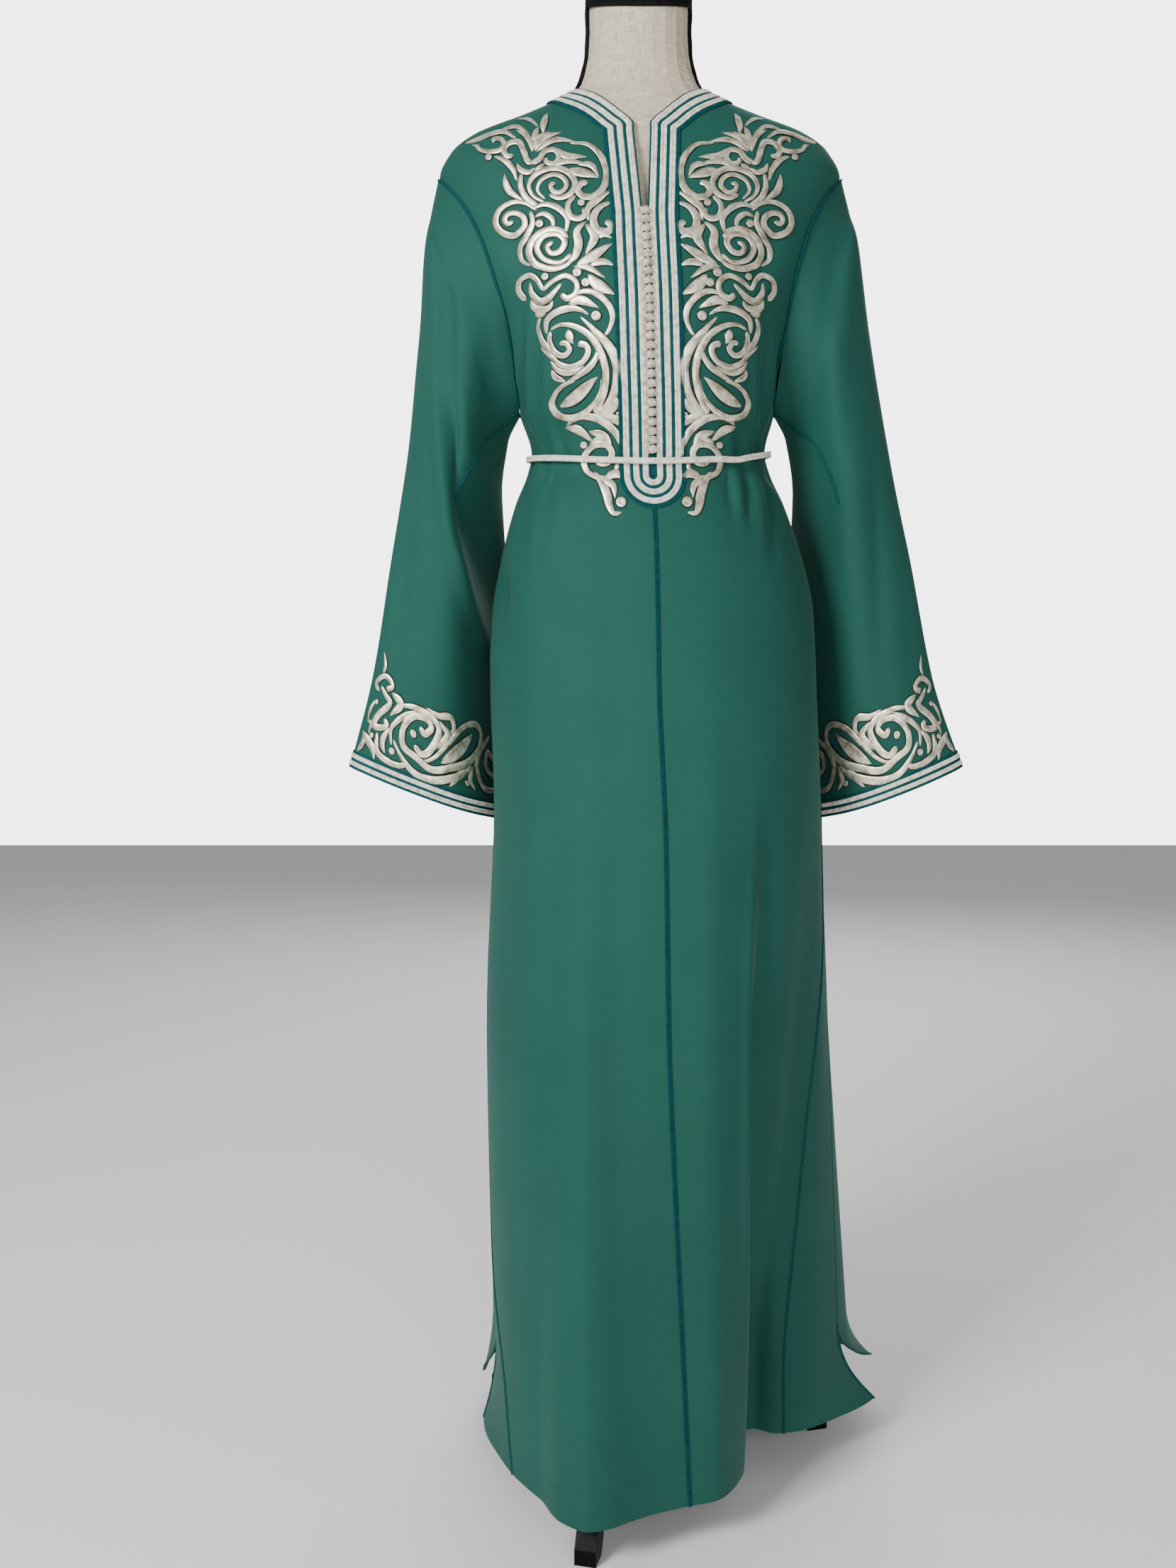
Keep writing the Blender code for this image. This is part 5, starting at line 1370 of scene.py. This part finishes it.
def join(pieces: Sequence[Item], name: str) -> Item:
    """Join plain mesh objects into one that sits at the origin."""
    with bpy.context.temp_override(active_object=pieces[0], selected_editable_objects=list(pieces),
                                   selected_objects=list(pieces), object=pieces[0]):
        bpy.ops.object.join()
    pieces[0].name = name
    pieces[0].data.name = name
    return pieces[0]


def neck_edge(count: int = 120) -> Array:
    """Left half of the neck opening's edge on the trunk, from the middle of the back to the slit's corner."""
    azimuth = np.linspace(180, 7.3, count)
    heights = np.linspace(SLIT_CORNER_Z, NECK_Z, 400)
    at = NECK.read(0, heights)
    z = np.where(azimuth >= 78, NECK_Z, np.interp(azimuth, at, heights))
    reach = trunk_reach(azimuth, z)
    return np.stack((reach * np.sin(np.radians(azimuth)), -reach * np.cos(np.radians(azimuth)), z), -1)


def trunk_level(points: Array) -> Array:
    """Below zero inside the trunk's oval, above zero outside it."""
    x, y, z = points.T
    depth = np.where(y < 0, SECTION.read(FRONT, z), SECTION.read(BACK, z))
    return ((np.abs(x) / SECTION.read(HALF, z)) ** TRUNK_POWER + (np.abs(y) / depth) ** TRUNK_POWER) ** (
        1 / TRUNK_POWER) - 1


def trunk_slope(points: Array) -> Array:
    """How the level changes along each axis."""
    step = 0.0002
    return np.stack([(trunk_level(points + step * axis) - trunk_level(points - step * axis)) / (2 * step)
                     for axis in np.eye(3)], -1)


def settle(points: Array) -> Array:
    """Bring points onto the trunk's surface, in centre-line coordinates."""
    for _ in range(6):
        slope = trunk_slope(points)
        points = points - (trunk_level(points) / np.sum(slope * slope, -1))[:, None] * slope
    return points


def band_line(offset: float, step: float = 0.0018) -> tuple[Array, Array]:
    """Centre line of a trim round the neck and down both sides of the slit, at an offset from the edge.

    Args:
        offset: distance from the opening's edge.
        step: distance between points.

    Returns:
        Points of the whole closed loop and their outward directions.
    """
    edge = neck_edge()
    moved = settle(edge)
    along = np.gradient(edge, axis=0)
    for _ in range(5):
        away = np.cross(unit(trunk_slope(moved)), along)
        moved = settle(moved + offset / 5 * unit(away))
    corner = [p for p in moved if p[1] > 0 or p[0] > float(slit_half(p[2])) + offset]
    last = corner[-1]
    top = last[2] - 0.35 * max(last[0] - float(slit_half(last[2])) - offset, 0.0003)
    z = np.linspace(top, PLACKET_FOOT_Z, int((top - PLACKET_FOOT_Z) / step))
    x = slit_half(np.maximum(z, PLACKET_FOOT_Z)) + offset
    radius = float(slit_half(np.array(PLACKET_FOOT_Z))) + offset
    turn = np.linspace(0, math.pi / 2, max(6, int(radius * 1.6 / step)))[1:]
    x = np.concatenate((x, radius * np.cos(turn)))
    z = np.concatenate((z, PLACKET_FOOT_Z - radius * np.sin(turn)))
    half, depth = SECTION.read(HALF, z), SECTION.read(FRONT, z)
    y = -depth * (1 - np.clip(x / half, 0, 1) ** TRUNK_POWER) ** (1 / TRUNK_POWER)
    side = np.vstack((corner, np.stack((x, y, z), -1)))
    loop = np.vstack((side, (side[1:-1] * (-1, 1, 1))[::-1]))
    closed = np.vstack((loop, loop[:1]))
    length = run_length(closed)
    places = np.linspace(0, length[-1], int(length[-1] / step), endpoint=False)
    even = np.stack([np.interp(places, length, closed[:, k]) for k in range(3)], -1)
    normals = unit(trunk_slope(even))
    world = even + np.stack((SECTION.read(CENTRE, even[:, 2]), 0 * even[:, 2], 0 * even[:, 2]), -1)
    return world, normals


@dataclass
class Trims:
    """Braids and cords of the neck, placket, seams and cuffs."""

    plait: Plait
    ivory: Finish
    teal: Finish
    braid_width: float = 0.0064
    braid_height: float = 0.0017
    braid_pitch: float = 0.0022
    braid_lift: float = 0.0003
    cord_height: float = 0.0016
    cuff_width: float = 0.0050
    # Width, height and pitch of the centre seam's braid, then width and height of each piping
    seam_braid: Row = (0.0046, 0.0013, 0.0017)
    gore_piping: Row = (0.0032, 0.0020)
    armhole_piping: Row = (0.0036, 0.0024)
    side_piping: Row = (0.0014, 0.0012)
    sleeve_piping: Row = (0.0026, 0.0020)
    piping_sink: float = 0.0006
    armhole_lift: float = 0.0002
    # The plaited cord at the outer edge: its offset, lift and pitch, then a plait's length, width, height
    # and distance from the cord's middle
    edge_cord: Row = (0.0280, 0.0009, 0.0021)
    edge_plait: Row = (0.0030, 0.0015, 0.0013, 0.0011)
    # Share of the sleeve's rows that its own seam shows on
    seam_rows: float = 0.46
    # Offset from the neck's edge and width of each teal cord, then height on the cuff and width, in mm and m
    neck_cords: tuple[Row, ...] = ((0.0006, 0.0022), (0.0089, 0.0032), (0.0183, 0.0032), (0.0284, 0.0046))
    cuff_cords: tuple[Row, ...] = ((1.2, 0.0026), (9.4, 0.0030), (17.6, 0.0028))
    cuff_braids: tuple[tuple[str, float], ...] = (("lower", 5.4), ("upper", 13.4))

    def ribbon(self, name: str, path: Array, normals: Array, ring: bool, width: float, high: float,
               pitch: float, material: Finish, lift: float = 0.0) -> Item:
        """A flat ribbon with a herringbone of plaits on it."""
        data = MeshData()
        section = np.array([(-0.5, 0), (0.5, 0), (0.46, 0.55), (-0.46, 0.55)]) * (width, high)
        sweep(data, path, normals, section[::-1], ring, lift=lift)
        base = data.build(f"{name}_base", material)
        shape = plait_shape(f"{name}_plait", width * 0.62, width * 0.30, high * 0.9, width * 0.24,
                            PLAIT_SLANT)
        raised = path + normals * (lift + high * 0.42)
        plaits = self.plait.repeat(f"{name}_plaits", raised, normals, ring, shape, pitch, material)
        return join([plaits, base], name)

    def build_neck(self) -> list[Item]:
        """Three ivory braids with teal cords beside and between them."""
        made = []
        for node, offset in BRAID_OFFSETS.items():
            path, normals = band_line(offset)
            item = self.ribbon(f"{node}_plaited", path, normals, True, self.braid_width, self.braid_height,
                               self.braid_pitch, self.ivory, self.braid_lift)
            made.append(declare(item, "braid", node))
        data = MeshData()
        for offset, width in self.neck_cords:
            path, normals = band_line(offset)
            sweep(data, path, normals, round_section(width, self.cord_height, 6), True)
        made.append(declare(data.build("neck_cords", self.teal), "cord"))
        offset, lift, pitch = self.edge_cord
        path, normals = band_line(offset)
        shape = plait_shape("edge_cord_plait", *self.edge_plait, PLAIT_SLANT)
        edge = self.plait.repeat("neck_edge_plaits", path + normals * lift, normals, True, shape, pitch,
                                 self.teal)
        made.append(declare(edge, "cord"))
        return made

    def build_seams(self) -> list[Item]:
        """Teal braid on the centre seam and teal piping on the other seams and slits."""
        top = PLACKET_FOOT_Z - BRAID_OFFSETS["braid_outer"] - 0.0075
        z = np.linspace(top, HEM_Z, 560)
        path, normals = cloth_frame(np.zeros_like(z), z)
        braid = self.ribbon("seam_braid_plaited", path, normals, False, *self.seam_braid, self.teal)
        made = [declare(braid, "cord", "seam_braid_front")]
        data = MeshData()
        gore = round_section(*self.gore_piping, 6)
        for side in (1, -1):
            low = np.linspace(GORE_TOP_Z, HEM_Z, 300)
            slit = np.linspace(SLIT_TOP_Z, HEM_Z, 60)
            for index, heights in ((FRONT_SEAM, low), (BACK_SEAM, low),
                                   (SLIT_FRONT, slit), (SLIT_BACK, slit)):
                line, out = cloth_frame(side * SEAM[side].read(index, heights), heights)
                sweep(data, line, out, gore, False, lift=-self.piping_sink)
            heights = SHOULDER_TIP_Z + np.linspace(0, 1, 140) * (UNDERARM_Z - SHOULDER_TIP_Z)
            for cut, way in ((ARMHOLE_FRONT, -1), (ARMHOLE_BACK, 1)):
                azimuth = side * (90 + way * armhole(heights, cut))
                line, out = cloth_frame(azimuth, heights)
                sweep(data, line, out, round_section(*self.armhole_piping, 8), False, lift=self.armhole_lift)
            heights = np.linspace(UNDERARM_Z, SLIT_TOP_Z, 330)
            line, out = cloth_frame(side * SEAM[side].read(SLIT_FRONT, heights), heights)
            sweep(data, line, out, round_section(*self.side_piping, 6), False, lift=-self.piping_sink)
        made.append(declare(data.build("seam_piping", self.teal), "cord"))
        return made

    def build_cuffs(self, sleeves: Sleeves) -> list[Item]:
        """Two ivory braids and three teal cords round each cuff, and the sleeve's own seam."""
        made = []
        seam = MeshData()
        share = np.linspace(0, 1, 120)
        rows = self.seam_rows * share * (sleeves.rows - 1)
        low = np.floor(rows).astype(int)
        part = (rows - low)[:, None]
        for side in (1, -1):
            columns = np.round(sleeves.columns * (0.5 - 0.167 * share ** 0.8)).astype(int)
            grid, normals = sleeves.grids[side], sleeves.normals[side]
            line = grid[low, columns] * (1 - part) + grid[low + 1, columns] * part
            for _ in range(12):
                line[1:-1] = (line[:-2] + 2 * line[1:-1] + line[2:]) / 4
            sweep(seam, line, normals[low, columns], round_section(*self.sleeve_piping, 6), False)
        made.append(declare(seam.build("sleeve_seam_piping", self.teal), "cord"))
        for side, word in SIDES:
            total = sleeves.around[side][-1] * 1000
            places = np.linspace(0, total, 320, endpoint=False) * side
            for level, up in self.cuff_braids:
                path, normals = sleeves.locate(side, places, np.full(len(places), up))
                node = f"cuff_braid_{level}_{word}"
                item = self.ribbon(f"{node}_plaited", path, normals, True, self.cuff_width, self.braid_height,
                                   self.braid_pitch, self.ivory, self.braid_lift)
                made.append(declare(item, "braid", node))
            data = MeshData()
            for up, width in self.cuff_cords:
                path, normals = sleeves.locate(side, places, np.full(len(places), up))
                sweep(data, path, normals, round_section(width, self.cord_height, 6), True)
            made.append(declare(data.build(f"cuff_cords_{word}", self.teal), "cord"))
        return made


@dataclass
class Placket:
    """Knotted buttons in their loops down the front."""

    material: Finish
    # Finish of the strip under the buttons: dark teal cord that is also painted shade between them
    teal_shade_strip: Finish
    count: int = 28
    pitch: float = 0.0088
    radii: tuple[float, float, float] = (0.0053, 0.0039, 0.0040)
    standoff: float = 0.0035
    # The knot's cord: its turns, its swings a turn, how far it swings, weaves and sits in
    turns: int = 3
    swings: int = 4
    swing: float = 0.62
    weave: float = 0.14
    cord_share: float = 0.84
    core_share: float = 0.86
    # A loop: distance of its middle from the centre line, its half width and half height, its reach in
    # radians, then the width and height of its cord
    loop_middle: float = 0.0036
    loop_half: Row = (0.0026, 0.0037)
    loop_reach: float = 1.9
    loop_cord: Row = (0.0017, 0.0016)
    # The strip that carries the buttons, teal cord dark enough to stand as painted shade between them: half
    # its width, and its two levels on the cloth
    strip: Row = (0.0048, -0.0008, 0.0004)
    # Buttons in the first of the two pieces
    first: int = 14

    def knot(self) -> Item:
        """One button: three interlaced turns of cord round a core, pointing along X, +Z out."""
        data = MeshData()
        wide, deep, high = self.radii
        t = np.linspace(0, 2 * math.pi, 60, endpoint=False)
        swing = self.swing * np.sin(self.swings * t)
        around = self.turns * t
        weave = 1 + self.weave * np.cos(2 * self.swings * t + 0.6)
        core = np.stack((np.cos(swing) * np.cos(around), np.cos(swing) * np.sin(around), np.sin(swing)), -1)
        share = self.cord_share
        path = core * weave[:, None] * (high * share, wide * share, deep * share)
        sweep(data, path, unit(core), round_section(0.0021, 0.0014, 5) - (0, 0.0007), True)
        rings = []
        for tilt in (-70, -30, 10, 50, 82):
            angle = np.linspace(0, 2 * math.pi, 10, endpoint=False)
            c = math.cos(math.radians(tilt)) * self.core_share
            s = math.sin(math.radians(tilt)) * self.core_share
            x, y = high * c * np.cos(angle), wide * c * np.sin(angle)
            rings.append(np.stack((x, y, np.full(10, deep * s)), -1))
        faces = grid_faces(5, 10, True) + [tuple(40 + c for c in range(10)), tuple(range(10))[::-1]]
        data.add(np.array(rings), faces)
        return data.shape("button_knot")

    def build(self) -> list[Item]:
        """Make the buttons, their loops and the strip that carries them."""
        heights = FIRST_BUTTON_Z - self.pitch * np.arange(self.count)
        belt = BELT_Z - BELT_DROP
        heights = np.array([z for z in heights if abs(z - belt) >= BELT_HALF + self.radii[2] + BELT_CLEAR])
        names = [f"button_{k:02d}" for k in range(1, len(heights) + 1)]
        path, normals = cloth_frame(np.zeros_like(heights), heights)
        centre = path + self.standoff * normals
        knot = self.knot()
        mesh_knot = np.array([v.co for v in knot.data.vertices])
        faces = [tuple(p.vertices) for p in knot.data.polygons]
        made = []
        for index, spans in enumerate(((0, self.first), (self.first, len(heights)))):
            data = MeshData()
            for k in range(*spans):
                turn = -1 if k % 2 else 1
                out = normals[k]
                up = unit(np.cross(out, (1.0, 0, 0)))
                side = np.cross(up, out)
                spots = centre[k] + mesh_knot[:, :1] * turn * up + mesh_knot[:, 1:2] * turn * side + \
                    mesh_knot[:, 2:] * out
                data.add(spots, faces)
            item = data.build(f"knot_buttons_{index + 1}", self.material)
            made.append(declare(item, "braid", *names[spans[0]:spans[1]]))
        # The strip under the buttons is teal cord and painted shade between them
        teal_shade_strip = MeshData()
        data = MeshData()
        z = np.linspace(FIRST_BUTTON_Z + 0.005, PLACKET_FOOT_Z, 60)
        path, normals = cloth_frame(np.zeros_like(z), z)
        half, low, high = self.strip
        section = np.array([(half, low), (half, high), (-half, high), (-half, low)])
        sweep(teal_shade_strip, path, normals, section, False)
        for z0 in heights:
            angle = np.linspace(-self.loop_reach, self.loop_reach, 13)
            x = -self.loop_middle - self.loop_half[0] * np.cos(angle)
            z = z0 + self.loop_half[1] * np.sin(angle)
            line, out = cloth_frame(azimuth_of(x, z), z)
            sweep(data, line, out, round_section(*self.loop_cord, 6), False, lift=self.loop_cord[1])
        made.append(declare(data.build("button_loops", self.material), "braid"))
        made.append(declare(teal_shade_strip.build("button_ground", self.teal_shade_strip), "cord"))
        return made


@dataclass
class Belt:
    """Plaited cord belt with a groove along its middle and a clasp behind."""

    plait: Plait
    material: Finish
    metal: Finish
    half_height: float = BELT_HALF
    half_depth: float = 0.0023
    core_share: float = 0.92
    # Length, width, height, distance from the middle and slant of a plait
    plait_size: Row = (0.0036, 0.0017, 0.0015, 0.0017, 30)
    plait_pitch: float = 0.0021
    clasp_half: float = 0.008
    gap: float = 0.0007
    over_braids: float = 0.0019
    side_rise: float = 0.0045
    # azimuth, width and rise of the bends at the wearer's left
    kinks: tuple[Row, ...] = ((86, 24, 0.0055), (47, 7, -0.0018))

    def build(self) -> list[Item]:
        """Make the belt along its CAD solid's line and dress the clasp."""
        reach_angle = math.degrees((self.clasp_half + SEAM_GAP) / float(SECTION.read(BACK, BELT_Z)))
        azimuth = np.linspace(-180 + reach_angle, 180 - reach_angle, 420)
        z = BELT_Z - BELT_DROP * np.cos(np.radians(azimuth))
        z = z + self.side_rise * np.sin(np.radians(azimuth)) ** 2 * (np.abs(azimuth) < 150)
        over = self.over_braids * np.clip((30 - np.abs(azimuth)) / 8, 0, 1)
        reach = trunk_reach(azimuth, z) + self.gap + self.half_depth + over
        for middle, spread, rise in self.kinks:
            z = z + rise * bell(azimuth - middle, spread)
        angle = np.radians(azimuth)
        path = np.stack((SECTION.read(CENTRE, z) + reach * np.sin(angle), -reach * np.cos(angle), z), -1)
        out = np.stack((np.sin(angle), -np.cos(angle), 0 * angle), -1)
        turn = np.linspace(0, 2 * math.pi, 14, endpoint=False)
        pinch = 1 - 0.28 * bell(np.sin(turn), 0.35)
        section = np.stack((self.half_height * np.sin(turn), self.half_depth * np.cos(turn) * pinch), -1)
        section = section * self.core_share
        data = MeshData()
        sweep(data, path, out, section, False)
        base = data.build("belt_core", self.material)
        shape = plait_shape("belt_plait", *self.plait_size)
        plaits, inner = (
            self.plait.repeat(name, path + facing * (self.half_depth * 0.72), facing, False, shape,
                              self.plait_pitch, self.material)
            for name, facing in (("belt_plaits", out), ("belt_plaits_inner", -out)))
        belt = declare(join([plaits, inner, base], "belt_plaited"), "braid", "belt")
        dress_node("belt_clasp", self.metal)
        return [belt]


def dress_node(node: str, material: Finish) -> None:
    """Give a CAD node that keeps its shape a better finish."""
    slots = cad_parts[node].material_slots
    if not slots:
        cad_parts[node].data.materials.append(material)
    for slot in slots:
        slot.material = material


@dataclass
class DressForm:
    """Linen torso, black gimp and lacquered stand."""

    trims: Trims
    linen: Finish
    gimp: Finish
    wood: Finish
    cap_half: float = 0.0542
    cap_back: float = 0.0562
    # width, height and pitch of a band of gimp
    band_size: Row = (0.0078, 0.0017, 0.0042)
    # level, dip in front and reach to the front of each band round the cap
    cap_bands: tuple[Row, ...] = (
        (1.5795, 0.0185, 0.0514), (1.5803, 0.0115, 0.0522), (1.5812, 0.0040, 0.0542),
        (1.5886, 0.0, 0.0542), (1.5960, 0.0, 0.0542))
    gimp_radius: float = 0.0031
    gimp_spread: float = 0.0015
    gimp_offset: float = 0.0014
    gimp_flat: float = 1.3
    gimp_top: float = 1.5755

    def build(self) -> list[Item]:
        """Dress the form's and the stand's nodes and plait the gimp."""
        dress_node("form_torso", self.linen)
        dress_node("neck_cap", self.gimp)
        for node in ("pole", "hub", "leg_front", "leg_left", "leg_right"):
            dress_node(node, self.wood)
        made = []
        middle = float(SECTION.read(CENTRE, 1.5))
        turn = np.linspace(0, 2 * math.pi, 160, endpoint=False)
        sides = np.stack((np.sin(turn), -np.cos(turn), 0 * turn), -1)
        azimuth = np.degrees(turn)
        ahead = np.clip(np.cos(turn), 0, 1)
        for index, (level, dip, front) in enumerate(self.cap_bands):
            depth = np.where(ahead > 0, front, self.cap_back)
            reach = oval_reach(azimuth, np.full(len(turn), self.cap_half), depth)
            path = sides * reach[:, None] + (middle, 0, 0)
            path[:, 2] = level - dip * ahead
            band = self.trims.ribbon(f"cap_gimp_{index + 1}", path, sides, True, *self.band_size, self.gimp)
            made.append(declare(band, "gimp"))
        heights = np.linspace(NECK_Z + 0.003, self.gimp_top, 40)
        across = np.linspace(0, 2 * math.pi, 12, endpoint=False)
        for side, word in SIDES:
            half = FORM_NECK.read(0, heights)
            radius = self.gimp_radius + self.gimp_spread * np.clip((1.53 - heights) / 0.04, 0, 1) ** 2
            # Twisted gimp is a little thicker and thinner along its length
            radius = radius * (1 + 0.07 * np.sin(heights * 2600.0))
            x = middle + side * (half[:, None] + self.gimp_offset + radius[:, None] * np.cos(across))
            y = self.gimp_flat * radius[:, None] * np.sin(across)
            z = np.repeat(heights[:, None], len(across), axis=1)
            count = len(heights)
            faces = grid_faces(count, len(across), True, flip=side < 0)
            rings = (tuple(range(len(across))), tuple(range((count - 1) * len(across), count * len(across))))
            ends = [ring if (side > 0) == (index == 1) else ring[::-1] for index, ring in enumerate(rings)]
            data = MeshData()
            data.add(np.stack((x, y, z), -1).reshape(-1, 3), faces + ends)
            made.append(declare(data.build(f"gimp_cord_{word}", self.gimp), "gimp", f"neck_gimp_{word}"))
        return made


@dataclass
class Studio:
    """Pale floor, soft light and the camera at the photograph's place."""

    paper: Finish
    place: tuple[float, float, float] = (-0.074, -1.65, 0.885)
    pitch: float = 4.3
    focal: float = 2144.0
    frame_height: float = 2212.0
    ambient: float = 0.34
    backdrop: float = 4.5
    aim: Row = (0.0, 0.0, 0.85)
    # name, place, size in metres and power in watts
    lamps: tuple[tuple[str, Row, float, float], ...] = (
        ("key", (-2.0, -2.4, 2.2), 1.0, 126.0), ("fill", (0.45, -3.2, 1.25), 1.6, 48.0),
        ("rim", (0.5, 2.8, 2.6), 2.4, 62.0))

    def build(self) -> None:
        """Make the floor, the lights, the world and the camera."""
        mesh = bpy.data.meshes.new("floor")
        mesh.from_pydata([(-6, -6, 0), (6, -6, 0), (6, 6, 0), (-6, 6, 0)], [], [(0, 1, 2, 3)])
        mesh.materials.append(self.paper)
        floor = new_object("floor", mesh)
        for name, place, size, power in self.lamps:
            lamp = bpy.data.lights.new(name, "AREA")
            lamp.energy = power
            lamp.size = size
            item = new_object(name, lamp)
            item.location = place
            aim = np.array(self.aim) - np.array(place)
            item.rotation_euler = (math.atan2(math.hypot(aim[0], aim[1]), -aim[2]), 0,
                                   math.atan2(-aim[0], aim[1]))
        world = bpy.context.scene.world or bpy.data.worlds.new("studio")
        bpy.context.scene.world = world
        world.use_nodes = True
        background = world.node_tree.nodes["Background"]
        background.inputs[0].default_value = linear("#ffffff")
        seen = add_node(world.node_tree, "ShaderNodeLightPath").outputs["Is Camera Ray"]
        glow = add_node(world.node_tree, "ShaderNodeMapRange", None,
                        {1: 0.0, 2: 1.0, 3: self.ambient, 4: self.backdrop}, {0: seen})
        world.node_tree.links.new(glow.outputs[0], background.inputs[1])
        data = bpy.data.cameras.new("camera")
        data.sensor_fit = "VERTICAL"
        data.sensor_height = 24.0
        data.lens = data.sensor_height * self.focal / self.frame_height
        camera = new_object("camera", data)
        camera.location = self.place
        camera.rotation_euler = (math.radians(90 - self.pitch), 0, 0)
        bpy.context.scene.camera = camera


def main() -> None:
    """Build the looks in order and report each piece."""
    logging.basicConfig(level=logging.INFO, format="%(name)s: %(message)s")
    crepe = WovenCrepe().material()
    sleeve_crepe = WovenCrepe(name="woven_crepe_sleeve", hem_line=False).material()
    satin = SatinStitch().material()
    ivory = BraidThread("ivory_viscose_braid", "#c0bba8", "#fffcf0", 0.44, 0.05).material()
    teal = BraidThread("teal_viscose_cord", "#00393b", "#00484a", 0.7, sheen=0.0, gloss=0.12).material()
    knots = BraidThread("ecru_viscose_cord", "#8f8672", "#ddd5c1", 0.5, 0.0).material()
    gimp = BraidThread("black_cotton_gimp", "#050505", "#131313", 0.8, sheen=0.02, gloss=0.12).material()
    plait = Plait("herringbone")
    sleeves = Sleeves()
    made = Panels().build(crepe)
    made += sleeves.build(sleeve_crepe)
    trims = Trims(plait, ivory, teal)
    made += trims.build_neck()
    made += trims.build_seams()
    made += trims.build_cuffs(sleeves)
    made += Placket(knots, teal).build()
    made += Belt(plait, ivory, PlatedBrass().material()).build()
    stitcher = Embroidery()
    made += stitcher.build_fronts(satin)
    made += stitcher.build_cuffs(sleeves, satin)
    made += DressForm(trims, PlainLinen().material(), gimp, SatinLacquer().material()).build()
    Studio(StudioPaper().material()).build()
    for item in made:
        LOG.info("%s: %d faces", item.name, len(item.data.polygons))


if __name__ == "__main__":
    main()
